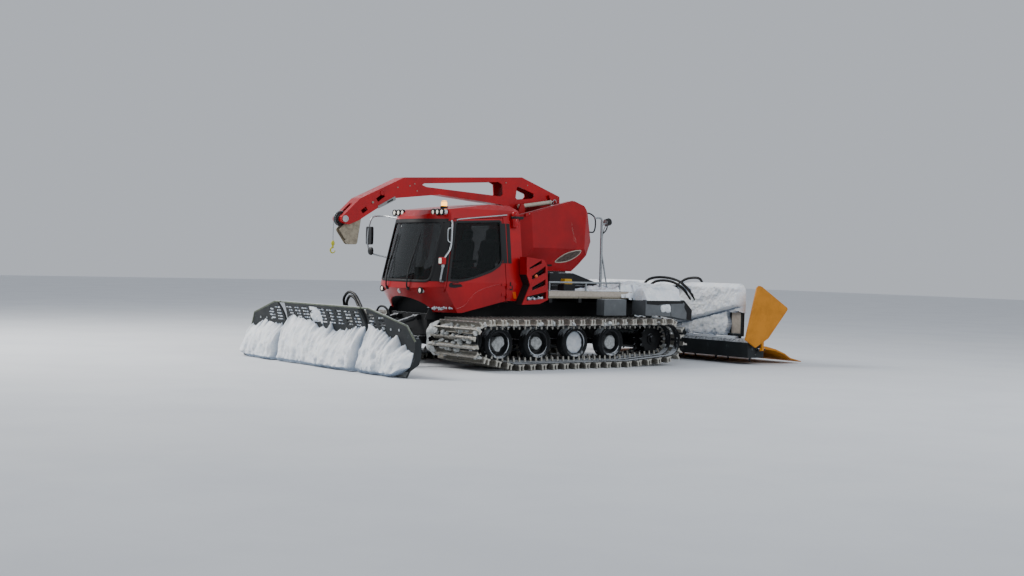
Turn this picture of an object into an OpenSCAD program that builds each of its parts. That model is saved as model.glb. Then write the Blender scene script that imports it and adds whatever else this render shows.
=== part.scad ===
// Snow groomer on rubber-belt tracks, with a front blade, a slewing winch boom and a rear tiller.
// Millimetres. X points forward, Y to the machine's left, Z up. The ground is z = 0 and the
// origin lies under the middle of the machine's length.

/* [Tracks] */
// Distance from the middle plane to the middle of a track
track_y = 1440; // [1430:5:1470]
// Width of a track over its long shoes
track_w = 1320; // [1240:10:1330]
// How much shorter the short shoes are at each end
short_shoe_cut = 70; // [30:5:120]
// Number of shoes on a track
shoe_n = 66; // [50:2:72]
// Height of a shoe from belt to tip
shoe_h = 105; // [80:5:120]
// Length of a shoe's foot along the belt
shoe_foot = 76; // [60:2:90]
// Thickness of a shoe's web at its tip
shoe_tip = 16; // [10:1:24]
// Thickness of the belts
belt_t = 14; // [10:1:20]
// Width of the belt that the tyres roll on
mid_belt_w = 250; // [230:10:280]
// Width of each other belt
side_belt_w = 130; // [90:10:140]

/* [Wheels] */
// Number of road wheels on a side
wheel_n = 4; // [3:1:4]
// Distance between road wheels
wheel_pitch = 852; // [800:4:880]
// Place of the foremost road wheel
front_wheel_x = 2070; // [2040:5:2090]
// Radius of a road wheel's tyre
wheel_r = 305; // [280:5:315]
// Width of a tyre
tyre_w = 215; // [180:5:225]
// Radius of a road wheel's rim
rim_r = 215; // [180:5:225]
// Place of the front idler
idler_x = 2670; // [2660:5:2750]
// Height of the front idler's axle
idler_z = 490; // [460:5:500]
// Radius of the front idler's tyre
idler_r = 250; // [200:5:255]
// Radius of the idler's rim
idler_rim_r = 165; // [140:5:175]
// Place of the driving sprocket
sprocket_x = -1470; // [-1560:5:-1440]
// Height of the sprocket's axle
sprocket_z = 465; // [450:5:480]
// Radius of the sprocket where the belts lie
sprocket_r = 275; // [250:5:285]
// Number of teeth on a sprocket
tooth_n = 13; // [11:1:16]
// Radius of the wheel axles
axle_r = 45; // [35:1:55]

/* [Chassis] */
// Half width of the chassis tub
tub_half = 560; // [520:5:580]
// Wall thickness of the tub
tub_wall = 30; // [12:2:50]
// Front end of the tub
tub_front = 2900; // [2850:10:2910]
// Rear end of the tub
tub_rear = -1950; // [-2000:10:-1930]
// Underside of the tub
tub_bottom = 330; // [300:5:340]
// Upper edge of the tub
tub_top = 900; // [870:5:920]
// Upper face of the body frame that carries cab and deck
bay_top = 1200; // [1150:5:1210]

/* [Cab] */
// Half width of the cab below its windows
cab_half = 1000; // [960:5:1010]
// Half width of the cab at its roof line
cab_top_half = 850; // [800:5:900]
// Rear face of the cab
cab_rear = 1150; // [1130:5:1180]
// Foremost point of the windscreen's lower edge
cab_nose = 3200; // [3150:10:3250]
// Height of the crease between windscreen and chin
crease_z = 1330; // [1300:5:1350]
// Height where the side walls begin to lean inwards
waist_z = 1450; // [1400:10:1500]
// Height of the roof seam above the windscreen
seam_z = 2545; // [2500:5:2580]
// Highest point of the roof
roof_z = 2840; // [2800:5:2860]
// Plan radius of the curved windscreen
screen_r = 1750; // [1600:50:2000]
// Backward lean of the windscreen in degrees
screen_lean = 14.6; // [12:0.2:17]
// Thickness of cab walls, doors and roof
cab_wall = 45; // [30:1:55]
// Thickness of the window glass
glass_t = 8; // [5:1:12]
// Gap round a door
door_gap = 12; // [10:1:16]
// Place of the doors' hinge line
hinge_x = 1530; // [1500:5:1560]

/* [Deck] */
// Half width of the rear deck
deck_half = 1190; // [1150:5:1200]
// Rear edge of the deck
deck_rear = -2520; // [-2560:10:-2450]
// Upper face of the deck
deck_top = 1330; // [1310:5:1340]
// Height of the deck rails above the deck
rail_h = 155; // [120:5:200]
// Radius of the rail tubes
rail_r = 17; // [12:1:22]
// Outer face of the rear side boxes
fender_y = 1560; // [1500:10:1700]

/* [Blade] */
// Half width of the blade's middle section
mid_half = 1310; // [1250:10:1350]
// Width of each blade wing
wing_w = 1330; // [1250:10:1350]
// Gap between middle section and wing
wing_gap = 12; // [10:1:20]
// Height of the blade's upper edge
blade_top = 1030; // [980:10:1060]
// Height of the cutting edge above ground
blade_lift = 20; // [12:1:40]
// Most forward line of the blade's upper edge
blade_face_x = 4715; // [4690:5:4730]
// Depth of the blade's hollow face
blade_sag = 150; // [100:5:180]
// Thickness of the blade plate
blade_t = 26; // [20:1:40]
// Place of the push frame's pivots
push_x = 2990; // [2985:5:3010]
// Height of the push frame's pivots
push_z = 450; // [430:5:480]
// Place of the blade's swing pin
swing_x = 4130; // [4110:5:4140]

/* [Winch] */
// Place of the slewing axis
slew_x = 0; // [-20:5:20]
// Underside of the winch housing
housing_z = 1680; // [1670:5:1700]
// Half width of the winch housing
housing_half = 590; // [560:5:600]
// Radius of the slewing ring
slew_r = 500; // [450:10:520]
// Running gap of flat faces that turn on each other
run_gap = 0.3; // [0.2:0.1:0.6]
// Place of the boom's pivot
boom_x = 700; // [690:2:710]
// Height of the boom's pivot
boom_z = 2600; // [2595:1:2610]
// Half width of the boom
boom_half = 150; // [140:2:160]
// Thickness of the boom's side plates
boom_plate = 24; // [18:1:40]
// Radius of the boom's pivot pin
boom_pin_r = 35; // [30:1:40]
// Place of the rope sheave
sheave_x = 4330; // [4320:5:4340]
// Height of the rope sheave
sheave_z = 2480; // [2470:5:2490]
// Radius of the rope sheave
sheave_r = 125; // [110:5:130]

/* [Tiller] */
// Place of the rear lift frame's pivots
lift_x = -2015; // [-2040:5:-2010]
// Height of the rear lift frame's pivots
lift_z = 640; // [620:5:660]
// Half width of the tiller
tiller_half = 2380; // [2300:10:2390]
// Place of the tiller shaft
shaft_x = -3390; // [-3420:5:-3380]
// Height of the tiller shaft
shaft_z = 230; // [228:1:240]
// Radius over the tiller's teeth
tooth_r = 180; // [160:2:186]
// Radius of the tiller shaft
shaft_r = 75; // [60:1:90]
// Upper edge of the snow screen
screen_z = 1500; // [1400:10:1520]
// Half width of the snow screen
screen_half = 2090; // [2000:10:2120]
// Rear edge of the finishing comb
comb_rear = -4715; // [-4790:5:-4650]
// Gap between the tiller's ends and the side wings
side_wing_gap = 55; // [50:1:80]
// Thickness of a side wing
side_wing_t = 30; // [20:1:40]

/* [Cylinders] */
// Running clearance of pins and rods in their bores
pin_gap = 0.3; // [0.2:0.05:0.5]
// Clearance between moving pieces that pass each other
pass_gap = 6; // [5:0.5:10]

/* [Hidden] */
$fn = 48;
eps = 0.01;
seat = 0.3;
far = 6000;

// Heights that follow from the track
wheel_z = shoe_h + belt_t + wheel_r + 2*seat;
// Each row is a wheel that the track runs round: x, z, radius; in the order of travel
LOOP = [[idler_x, idler_z, idler_r],
        [front_wheel_x, wheel_z, wheel_r],
        [front_wheel_x - (wheel_n - 1)*wheel_pitch, wheel_z, wheel_r],
        [sprocket_x, sprocket_z, sprocket_r]];
// Each row is a belt of the left track: distance of its middle from the track's middle, width
BELTS = [[0, mid_belt_w],
         [-track_w*0.2, side_belt_w], [track_w*0.2, side_belt_w],
         [-track_w*0.385, side_belt_w], [track_w*0.385, side_belt_w]];

// A wheel's follower in the loop, and the angle of the outward normal of the run that leaves it
function after(i) = (i + 1) % len(LOOP);
function before(i) = (i + len(LOOP) - 1) % len(LOOP);
function run_vec(i) = [LOOP[after(i)][0] - LOOP[i][0], LOOP[after(i)][1] - LOOP[i][1]];
function run_normal(i) = let(d = run_vec(i))
    atan2(d[1], d[0]) + acos((LOOP[i][2] - LOOP[after(i)][2])/norm(d));
function wrap(a) = a - 360*floor(a/360);
function arc_span(i) = wrap(run_normal(before(i)) - run_normal(i));
function on_wheel(i, a, r) = [LOOP[i][0] + r*cos(a), LOOP[i][1] + r*sin(a)];
// Lengths of the arc round a wheel and of the straight run after it, at offset e from the tyres
function arc_len(i, e) = (LOOP[i][2] + e)*arc_span(i)*PI/180;
function run_len(i) = norm(on_wheel(i, run_normal(i), LOOP[i][2])
                           - on_wheel(after(i), run_normal(i), LOOP[after(i)][2]));
function loop_len(e, i = 0) = i == len(LOOP) ? 0 : arc_len(i, e) + run_len(i) + loop_len(e, i + 1);
// Place on the loop at the way s along it: x, z and the angle of its outward normal
function loop_at(s, e, i = 0) =
    let(al = arc_len(i, e), sl = run_len(i), r = LOOP[i][2] + e, a0 = run_normal(before(i)),
        a1 = run_normal(i))
    s < al ? let(a = a0 - s/r*180/PI) concat(on_wheel(i, a, r), a)
    : s < al + sl ? let(p = on_wheel(i, a1, r), q = on_wheel(after(i), a1, LOOP[after(i)][2] + e))
        concat(p + (q - p)*(s - al)/sl, a1)
    : loop_at(s - al - sl, e, after(i));

// Points of an arc, and a convex outline (counterclockwise) moved inwards by t
function arc(cx, cz, r, a0, a1, n) =
    [for (k = [0:n]) [cx + r*cos(a0 + (a1 - a0)*k/n), cz + r*sin(a0 + (a1 - a0)*k/n)]];
function mirrored(p) = [for (k = [len(p) - 1:-1:0]) [-p[k][0], p[k][1]]];
function edge_n(p, i) = let(q = p[(i + 1) % len(p)] - p[i]) [-q[1], q[0]]/norm(q);
function inset(p, t) = [for (i = [0:len(p) - 1])
    let(a = edge_n(p, (i + len(p) - 1) % len(p)), b = edge_n(p, i), k = 1 + a*b)
    p[i] + (a + b)*t/k];

// A drawing in the side view (x, z), as wide as w and centred on y
module side(w, y = 0) {
    translate([0, y, 0]) rotate([90, 0, 0]) linear_extrude(w, center = true) children();
}
// A drawing in the front view (y, z), from x0 to x1
module front(x0, x1) {
    translate([x0, 0, 0]) rotate([90, 0, 90]) linear_extrude(x1 - x0) children();
}
// A round bar across the machine, from y0 to y1
module cross_bar(x, z, r, y0, y1) {
    translate([x, y1, z]) rotate([90, 0, 0]) cylinder(h = y1 - y0, r = r);
}
module upright(x, y, r, z0, z1) {
    translate([x, y, z0]) cylinder(h = z1 - z0, r = r);
}
// A straight tube between two points
module tube(a, b, r) {
    d = b - a;
    translate(a) rotate([0, acos(d[2]/norm(d)), atan2(d[1], d[0])]) cylinder(h = norm(d), r = r);
}
module box(x0, x1, y0, y1, z0, z1) {
    translate([x0, y0, z0]) cube([x1 - x0, y1 - y0, z1 - z0]);
}
module both_sides() {
    children();
    mirror([0, 1, 0]) children();
}

/* Track and running gear */
// Outline of the loop at offset e from the tyres, its arcs cut into flats of about 8 degrees;
// the flats touch the offset circle from outside if around is 1, and lie inside it if 0
function loop_outline(e, around) = [for (i = [0:len(LOOP) - 1])
    let(n = max(1, ceil(arc_span(i)/8)), step = arc_span(i)/n)
    for (k = [0:n]) on_wheel(i, run_normal(before(i)) - k*step,
                             (LOOP[i][2] + e)*(around == 1 ? 1/cos(step/2) : 1))];
module belts() {
    color("#1b1c1e") for (b = BELTS) side(b[1], track_y + b[0]) difference() {
        polygon(loop_outline(belt_t + seat, 0));
        polygon(loop_outline(seat, 1));
    }
}
module shoe(w) {
    web = shoe_tip/2;
    side(w) polygon([[-shoe_foot/2, 0], [shoe_foot/2, 0], [shoe_foot/2, 10], [web + 7, 24],
                     [web, shoe_h], [-web, shoe_h], [-web - 7, 24], [-shoe_foot/2, 10]]);
}
module shoes() {
    rise = belt_t + 2*seat;
    pitch = loop_len(rise)/shoe_n;
    color("#8d8a80") for (k = [0:shoe_n - 1]) {
        p = loop_at(k*pitch, rise);
        translate([p[0], track_y, p[1]]) rotate([0, 90 - p[2], 0])
            shoe(track_w - (k % 2)*2*short_shoe_cut);
    }
}
// A tyre's half section: radius, distance from its middle plane
module tyre(r, bead) {
    w = tyre_w/2;
    rotate([90, 0, 0]) rotate_extrude($fn = 64)
        polygon([[bead + seat, -w + 22], [r - 55, -w], [r - 12, -w + 20], [r, -w + 55],
                 [r, w - 55], [r - 12, w - 20], [r - 55, w], [bead + seat, w - 22]]);
}
module wheel_places() {
    for (i = [0:wheel_n - 1]) translate([front_wheel_x - i*wheel_pitch, track_y, wheel_z])
        children();
}
module wheel_tyres() {
    color("#17181a") both_sides() {
        wheel_places() tyre(wheel_r, rim_r);
        translate([idler_x, track_y, idler_z]) tyre(idler_r, idler_rim_r);
    }
}
// A dished rim with its hub, open to the outside
module rim(r) {
    w = tyre_w/2 - 22;
    rotate([-90, 0, 0]) rotate_extrude($fn = 64)
        polygon([[axle_r + seat, -w + 20], [r - 40, -w + 20], [r - 18, -w], [r, -w], [r, w],
                 [r - 18, w], [r - 26, -w + 60], [axle_r + 55, -w + 44], [axle_r + 40, w - 30],
                 [axle_r + seat, w - 30]]);
}
module wheel_rims() {
    color("#b9bcbd") both_sides() {
        wheel_places() rim(rim_r);
        translate([idler_x, track_y, idler_z]) rim(idler_rim_r);
    }
}
module sprocket_disc(y) {
    side(34, y) difference() {
        union() {
            translate([sprocket_x, sprocket_z]) circle(sprocket_r - 42, $fn = 64);
            for (k = [0:tooth_n - 1]) translate([sprocket_x, sprocket_z]) rotate(k*360/tooth_n)
                polygon([[sprocket_r - 60, -32], [sprocket_r - seat, -13],
                         [sprocket_r - seat, 13], [sprocket_r - 60, 32]]);
        }
        translate([sprocket_x, sprocket_z]) circle(axle_r + 60 + seat);
    }
}
// Two toothed discs a side, on the drum of the final drive
module sprockets() {
    color("#2a2c2e") both_sides() for (s = [-1, 1]) sprocket_disc(track_y + s*92);
}
module axles() {
    color("#303234") both_sides() {
        wheel_places() cross_bar(0, 0, axle_r, tub_half - track_y, tyre_w/2 - 50);
        for (i = [0:wheel_n - 1]) {
            x = front_wheel_x - i*wheel_pitch;
            // Swing arm from the tub's side to the axle
            side(60, tub_half + 62) polygon([[x - 60, wheel_z - 40], [x + 60, wheel_z - 40],
                [x + 300, wheel_z + 60], [x + 300, wheel_z + 130], [x - 60, wheel_z + 60]]);
            cross_bar(x + 250, wheel_z + 90, 38, tub_half, tub_half + 62);
        }
        cross_bar(idler_x, idler_z, axle_r, tub_half, track_y + tyre_w/2 - 50);
        cross_bar(sprocket_x, sprocket_z, 150, tub_half, track_y - 160);
        cross_bar(sprocket_x, sprocket_z, axle_r + 60, track_y - 160, track_y + 130);
        cross_bar(sprocket_x, sprocket_z, 62, track_y + 130, track_y + 165);
    }
}

/* Chassis */
TUB = [[tub_rear, 560], [tub_rear + 200, tub_bottom], [tub_front - 400, tub_bottom],
       [tub_front, 540], [tub_front, tub_top], [tub_rear, tub_top]];
PIN_R = 25;
// Pins of the cylinders in the side view: base pin and rod eye, x and z
PUSH_A = [2955, 830];
PUSH_B = [3900, 560];
LIFT_A = [-2015, 1000];
LIFT_B = [-2900, 760];
BOOM_A = [680, 2850];
BOOM_B = [-120, 2970];
// Middle planes of the frames' arms and of the cylinders
arm_y = 410;
cyl_y = 300;
ear_t = 24;
ear_r = 45;
arm_w = 104;
eye_w = 70;
tower_top = 1150;
TOW_EYE = [2960, 630];
tow_eye_r = 20;
module chassis_tub() {
    color("#26282b") {
        difference() {
            side(2*tub_half) polygon(TUB);
            side(2*(tub_half - tub_wall)) polygon(concat(
                [for (k = [0:3]) inset(TUB, tub_wall)[k]],
                [[tub_front - tub_wall, tub_top + 1], [tub_rear + tub_wall, tub_top + 1]]));
        }
        // Rear wall that carries the lift cylinders
        box(tub_rear, tub_rear + 40, -430, 430, 600, tower_top);
        both_sides() {
            pin_ears(push_x, push_z, tub_front - 260, 60, arm_y, arm_w);
            pin_ears(lift_x, lift_z, tub_rear + 10, 60, arm_y, arm_w);
            pin_ears(PUSH_A[0], PUSH_A[1], tub_front - 10, ear_r, cyl_y, eye_w);
            pin_ears(LIFT_A[0], LIFT_A[1], tub_rear + 10, ear_r, cyl_y, eye_w);
        }
        // Front towing plate
        difference() {
            union() {
                box(tub_front - 10, TOW_EYE[0], -60, 60, TOW_EYE[1] - 30, TOW_EYE[1]);
                upright(TOW_EYE[0], 0, 60, TOW_EYE[1] - 30, TOW_EYE[1]);
            }
            upright(TOW_EYE[0], 0, tow_eye_r, TOW_EYE[1] - 31, TOW_EYE[1] + 1);
        }
    }
}
// Two plate ears and their pin, for an eye of width w at y; r is the ears' radius
module pin_ears(x, z, x_root, r, y, w) {
    for (k = [-1, 1]) side(ear_t, y + k*(w/2 + pass_gap + ear_t/2)) {
        translate([x, z]) circle(r);
        polygon([[x, z - r], [x, z + r], [x_root, z + r], [x_root, z - r]]);
    }
    cross_bar(x, z, PIN_R, y - w/2 - pass_gap - ear_t/2, y + w/2 + pass_gap + ear_t/2);
}
// Heights where the cab's front and rear feet stand on the frame
cab_foot_z = 928;
rear_foot_z = 1100;
FRAME_BARS = [-2140, -1400, -740, -50, 640];
module body_frame() {
    color("#1d1f21") {
        both_sides() side(80, tub_half - 40) polygon([[-2300, bay_top], [-2300, 1040], [tub_rear, tub_top],
            [2600, tub_top], [2600, cab_foot_z - seat], [2460, cab_foot_z - seat],
            [1300, rear_foot_z - seat], [cab_rear - 30, rear_foot_z - seat], [cab_rear - 30, bay_top]]);
        for (x = FRAME_BARS) box(x, x + 70, -deck_half, deck_half, bay_top - 80, bay_top);
    }
}
module engine_block() {
    top = bay_top - 100;
    color("#3a3d40") side(620) polygon([[-1000, tub_bottom + tub_wall], [150, tub_bottom + tub_wall],
        [150, top - 70], [50, top], [-900, top], [-1000, top - 70]]);
}

/* Cab */
CAB_SIDE = [[cab_rear, 1140], [hinge_x, 1140], [2480, 930], [3400, 930], [3400, 2300], [2905, 2560],
            [2715, 2700], [1600, roof_z], [1260, roof_z - 20], [cab_rear, 2740]];
CAB_FRONT = [[-cab_half, 800], [cab_half, 800], [cab_half, waist_z], [cab_top_half, 2600],
             [cab_top_half - 55, 2730], [cab_top_half - 170, 2820], [0, roof_z + 60],
             [-cab_top_half + 170, 2820], [-cab_top_half + 55, 2730], [-cab_top_half, 2600],
             [-cab_half, waist_z]];
chin_lean = 32;
function seam(x) = seam_z + (2600 - x)*0.055;
ROOF_ZONE = [[900, seam(900)], [3500, seam(3500)], [3500, 3100], [900, 3100]];
DOOR = [[hinge_x, 800], [2660, 800], [2860, 1150], [2835, 1360], [2835 - 1270*0.2, 2630],
        [hinge_x, 2630]];
DOOR_WINDOW = [[hinge_x + 60, 1880], [hinge_x + 130, 1760], [1850, 1655], [2100, 1575],
               [2330, 1510], [2500, 1480], [2766, 1480], [2564, 2488], [hinge_x + 60, 2540]];
SCREEN = concat(arc(760, 1570, 110, -90, 0, 6), [[760, 2490], [-760, 2490]],
                arc(-760, 1570, 110, 180, 270, 6));
arch_half = 620;
arch_top = 1188;
function arch(t) = concat([for (k = [0:12]) [(arch_half + t)*cos(15*k), 930 + (arch_top + t - 930)*sin(15*k)]],
                          [[-arch_half - t, 700], [arch_half + t, 700]]);
lamp_r = 44;
ROOF_LAMPS = [480, 610, 740];
roof_lamp_z = 2655;
lip_lamp_y = 600;
lip_lamp_z = 1300;
rear_glass = [600, 1720, 2480];

// The cab's closed outer form, all its faces moved inwards by t
module cab_form(t) {
    intersection() {
        side(2*cab_half + 10) polygon(inset(CAB_SIDE, t));
        front(cab_rear - 1, 3500) polygon(inset(CAB_FRONT, t));
        translate([cab_nose - screen_r/cos(screen_lean), 0, crease_z]) rotate([0, -screen_lean, 0])
            cylinder(h = far, r = screen_r - t, center = true, $fn = 96);
        translate([cab_nose - screen_r/cos(chin_lean), 0, crease_z]) rotate([0, chin_lean, 0])
            cylinder(h = far, r = screen_r - t, center = true, $fn = 96);
    }
}
module cab_skin() {
    difference() {
        cab_form(0);
        cab_form(cab_wall);
    }
}
// The space of both doors, seen from the side, drawn in by g
module door_zone(g) {
    difference() {
        both_sides() {
            side(200, cab_half - cab_wall + 100) polygon(inset(DOOR, g));
            intersection() {
                side(400, 900) polygon(inset(DOOR, g));
                box(1000, 3000, 700, 1100, waist_z - 100, 2800);
            }
        }
        side(far) polygon(inset(ROOF_ZONE, -g));
    }
}
module lamp_bores(c) {
    both_sides() {
        for (y = ROOF_LAMPS) translate([2600, y, roof_lamp_z]) rotate([0, 90, 0])
            cylinder(h = 400, r = lamp_r + c);
        translate([2900, lip_lamp_y, lip_lamp_z]) rotate([0, 90, 0]) cylinder(h = 400, r = lamp_r + c);
    }
}
module cab_frame() {
    color("#b3141e") {
        difference() {
            cab_skin();
            side(far) polygon(ROOF_ZONE);
            door_zone(0);
            front(2400, 3500) polygon(SCREEN);
            front(2700, 3500) polygon(arch(0));
            box(cab_rear - 10, cab_rear + cab_wall + 10, -rear_glass[0], rear_glass[0],
                rear_glass[1], rear_glass[2]);
            lamp_bores(seat);
            mirror_tubes(seat);
        }
        // Liner of the arch under the nose
        intersection() {
            cab_form(0);
            difference() {
                front(2740, 3500) polygon(arch(32));
                front(2770, 3500) polygon(arch(0));
            }
        }
        both_sides() for (z = HINGE_Z) {
            upright(hinge_x, hinge_y, 18, z - 45, z - run_gap);
            upright(hinge_x, hinge_y, 9, z - 45, z + 45);
            box(hinge_x - 110, hinge_x, cab_half - 5, cab_half + 12, z - 45, z - run_gap);
        }
        // Rear and front feet on the body frame
        both_sides() {
            box(cab_rear + 10, cab_rear + 110, tub_half - 80, tub_half, rear_foot_z, 1180);
            box(2490, 2570, tub_half - 80, tub_half, cab_foot_z, 960);
        }
    }
}
HINGE_Z = [1225, 1400];
hinge_y = cab_half + 20;
module cab_roof() {
    color("#b3141e") difference() {
        intersection() {
            cab_skin();
            side(far) polygon(inset(ROOF_ZONE, seat));
        }
        lamp_bores(seat);
        mirror_tubes(seat);
    }
}
module windscreen() {
    color("#3f5350", 0.5) intersection() {
        difference() {
            cab_form(12);
            cab_form(12 + glass_t);
        }
        front(2400, 3500) polygon(inset(SCREEN, seat));
    }
}
module rear_window() {
    color("#3f5350", 0.5) box(cab_rear + 12, cab_rear + 12 + glass_t, -rear_glass[0] + seat,
        rear_glass[0] - seat, rear_glass[1] + seat, rear_glass[2] - seat);
}
module door(s) {
    color("#b3141e") mirror([0, s < 0 ? 1 : 0, 0]) {
        difference() {
            intersection() {
                cab_skin();
                door_zone(door_gap);
                box(0, far, 0, far, 0, far);
            }
            side(far) polygon(DOOR_WINDOW);
        }
        for (z = HINGE_Z) difference() {
            union() {
                upright(hinge_x, hinge_y, 18, z, z + 45);
                box(hinge_x, hinge_x + 110, cab_half - 5, cab_half + 12, z, z + 45);
            }
            upright(hinge_x, hinge_y, 9 + pin_gap, z - 10, z + 60);
        }
    }
}
module door_glass(s) {
    color("#3f5350", 0.5) mirror([0, s < 0 ? 1 : 0, 0]) intersection() {
        difference() {
            cab_form(12);
            cab_form(12 + glass_t);
        }
        side(500, 800) polygon(inset(DOOR_WINDOW, seat));
    }
}
floor_z = 1205;
module cab_console() {
    color("#2b2d30") {
        intersection() {
            cab_form(cab_wall + seat);
            box(cab_rear, 2350, -cab_half + cab_wall + 15, cab_half - cab_wall - 15, 900, floor_z);
        }
        side(1180) polygon([[2730, arch_top + 32 + seat], [2940, arch_top + 32 + seat],
            [2960, 1400], [2800, 1450], [2730, 1400]]);
    }
}
module seat_set(y) {
    side(480, y) polygon([[1480, floor_z + 330], [2020, floor_z + 350], [2030, floor_z + 450],
        [1980, floor_z + 480], [1560, floor_z + 440], [1440, floor_z + 1000], [1370, floor_z + 1010],
        [1350, floor_z + 960]]);
    side(260, y) polygon([[1385, floor_z + 1000], [1440, floor_z + 1000], [1400, floor_z + 1190],
        [1340, floor_z + 1180]]);
    box(1560, 1920, y - 170, y + 170, floor_z + seat, floor_z + 340);
}
module cab_seats() {
    color("#303338") for (y = [330, -380]) seat_set(y);
}
module roof_lamps() {
    color("#d8dadb") both_sides() {
        for (y = ROOF_LAMPS) translate([2680, y, roof_lamp_z]) rotate([0, 90, 0])
            cylinder(h = 95, r = lamp_r);
        translate([2960, lip_lamp_y, lip_lamp_z]) rotate([0, 90, 0]) cylinder(h = 130, r = lamp_r);
    }
    color("#e8841a") difference() {
        translate([2440, 330, 2710]) {
            cylinder(h = 60, r = 62);
            translate([0, 0, 60]) cylinder(h = 85, r = 50);
            translate([0, 0, 145]) cylinder(h = 14, r = 38);
        }
        cab_form(-seat);
    }
}
// Tubes that carry mirrors and marker lamps: each row is one tube's corner points
MIRROR_R = 15;
RIGHT_TUBES = [[[2632, -828, 2560], [2760, -1180, 2600], [2960, -1230, 2520], [2990, -1230, 1980],
                [2765, -928, 1840]]];
LEFT_TUBES = [[[2660, 838, 2480], [2790, 950, 2520], [2960, 1010, 2000], [2990, 1060, 1780],
               [2985, 1010, 1500], [2845, 965, 1460]]];
module path_tube(p, r) {
    for (i = [0:len(p) - 2]) tube(p[i], p[i + 1], r);
    for (i = [1:len(p) - 2]) translate(p[i]) sphere(r + 3);
}
module mirror_tubes(c) {
    for (p = concat(RIGHT_TUBES, LEFT_TUBES)) path_tube(p, MIRROR_R + c);
}
module mirrors() {
    color("#4a4d50") {
        mirror_tubes(0);
        translate([2975, -1230, 2240]) side(190) polygon([[-28, -170], [30, -150], [30, 150], [-28, 170]]);
        translate([2968, -1180, 1960]) rotate([0, 90, 0]) cylinder(h = 50, r = 75);
        translate([2960, 1060, 1800]) box(-40, 45, -40, 70, -70, 70);
    }
}

/* Deck and what stands on it */
POD = [[930, 1095], [1330, 1080], [1160, 1430], [1240, 1610], [1250, 1920], [850, 1880],
       [775, 1770], [740, 1170]];
// Each row is an opening of the louvre pod: front and rear end, heights of their lower edges, height
POD_SLOTS = [[1180, 910, 1700, 1810, 60], [1120, 815, 1520, 1650, 120],
             [1110, 810, 1330, 1430, 105], [1230, 790, 1150, 1190, 120]];
pod_in = cab_half + seat;
pod_lap = 10;
pod_out = deck_half + pod_lap;
module louvre_pods() {
    color("#b3141e") both_sides() difference() {
        side(pod_out - pod_in, (pod_in + pod_out)/2) polygon(POD);
        side(pod_out - pod_in, (pod_in + pod_out)/2 - 26) polygon(inset(POD, 26));
        for (s = POD_SLOTS) side(200, pod_out)
            polygon([[s[0], s[2]], [s[0], s[2] + s[4]*0.6], [s[1], s[3] + s[4]], [s[1], s[3]]]);
    }
}
deck_front = 730;
module deck() {
    color("#8f8b80") difference() {
        box(deck_rear, deck_front, -deck_half, deck_half, bay_top, deck_top);
        for (i = [0:4]) {
            pitch = (deck_front - deck_rear - 60)/5;
            box(deck_rear + 60 + i*pitch, deck_rear + (i + 1)*pitch, -deck_half + 60, deck_half - 60,
                bay_top - 1, deck_top - 25);
        }
        // Room in the rear rim for the lift cylinders when the tiller is up
        both_sides() box(deck_rear - 1, deck_rear + 61, cyl_y - 75, cyl_y + 75, bay_top - 1, deck_top - 25);
        for (x = [-2150, -1250], y = [-800, 800]) upright(x, y, 7, bay_top, far);
    }
}
RAIL_X = [680, -180, -1010];
module deck_rails() {
    y = deck_half - 40;
    z = deck_top + rail_h;
    color("#a9adaf") both_sides() {
        path_tube([[RAIL_X[0], y, deck_top + seat], [RAIL_X[0], y, z], [RAIL_X[2], y, z],
                   [RAIL_X[2], y, deck_top + seat]], rail_r);
        tube([RAIL_X[1], y, deck_top + seat], [RAIL_X[1], y, z], rail_r);
    }
}
module rear_side_boxes() {
    color("#6f7476") both_sides() {
        side(fender_y - deck_half - seat, (fender_y + deck_half + seat)/2) polygon([[-2490, 800],
            [-1960, 885], [-1300, 900], [-1300, 1190], [-2290, 1190], [-2500, 1000]]);
        side(210, deck_half + seat + 105) polygon([[-960, 895], [-420, 895], [-420, 1190], [-960, 1190]]);
    }
}
mast_x = -880;
mast_y = 750;
module light_mast() {
    color("#8d9193") {
        for (x = [mast_x, mast_x - 180]) upright(x, mast_y, 42, deck_top + seat, deck_top + 14);
        tube([mast_x, mast_y, deck_top + 5], [mast_x, mast_y, 2630], 24);
        tube([mast_x - 180, mast_y, deck_top + 8], [mast_x, mast_y, 2100], 14);
        tube([mast_x, mast_y, 2560], [mast_x - 110, mast_y, 2600], 16);
    }
    color("#1d1f21") translate([mast_x - 90, mast_y, 2606]) rotate([0, -75, 0])
        cylinder(h = 100, r = 62);
}
module slewing_base() {
    color("#1b1d1f") difference() {
        union() {
            upright(slew_x, 0, slew_r - 60, deck_top + seat, housing_z - 60);
            upright(slew_x, 0, slew_r, housing_z - 60, housing_z - run_gap);
            box(slew_x - 620, slew_x + 560, -300, 300, deck_top + seat, deck_top + 110);
        }
        upright(slew_x, 0, 120 + pin_gap, housing_z - 220, housing_z);
    }
}

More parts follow.
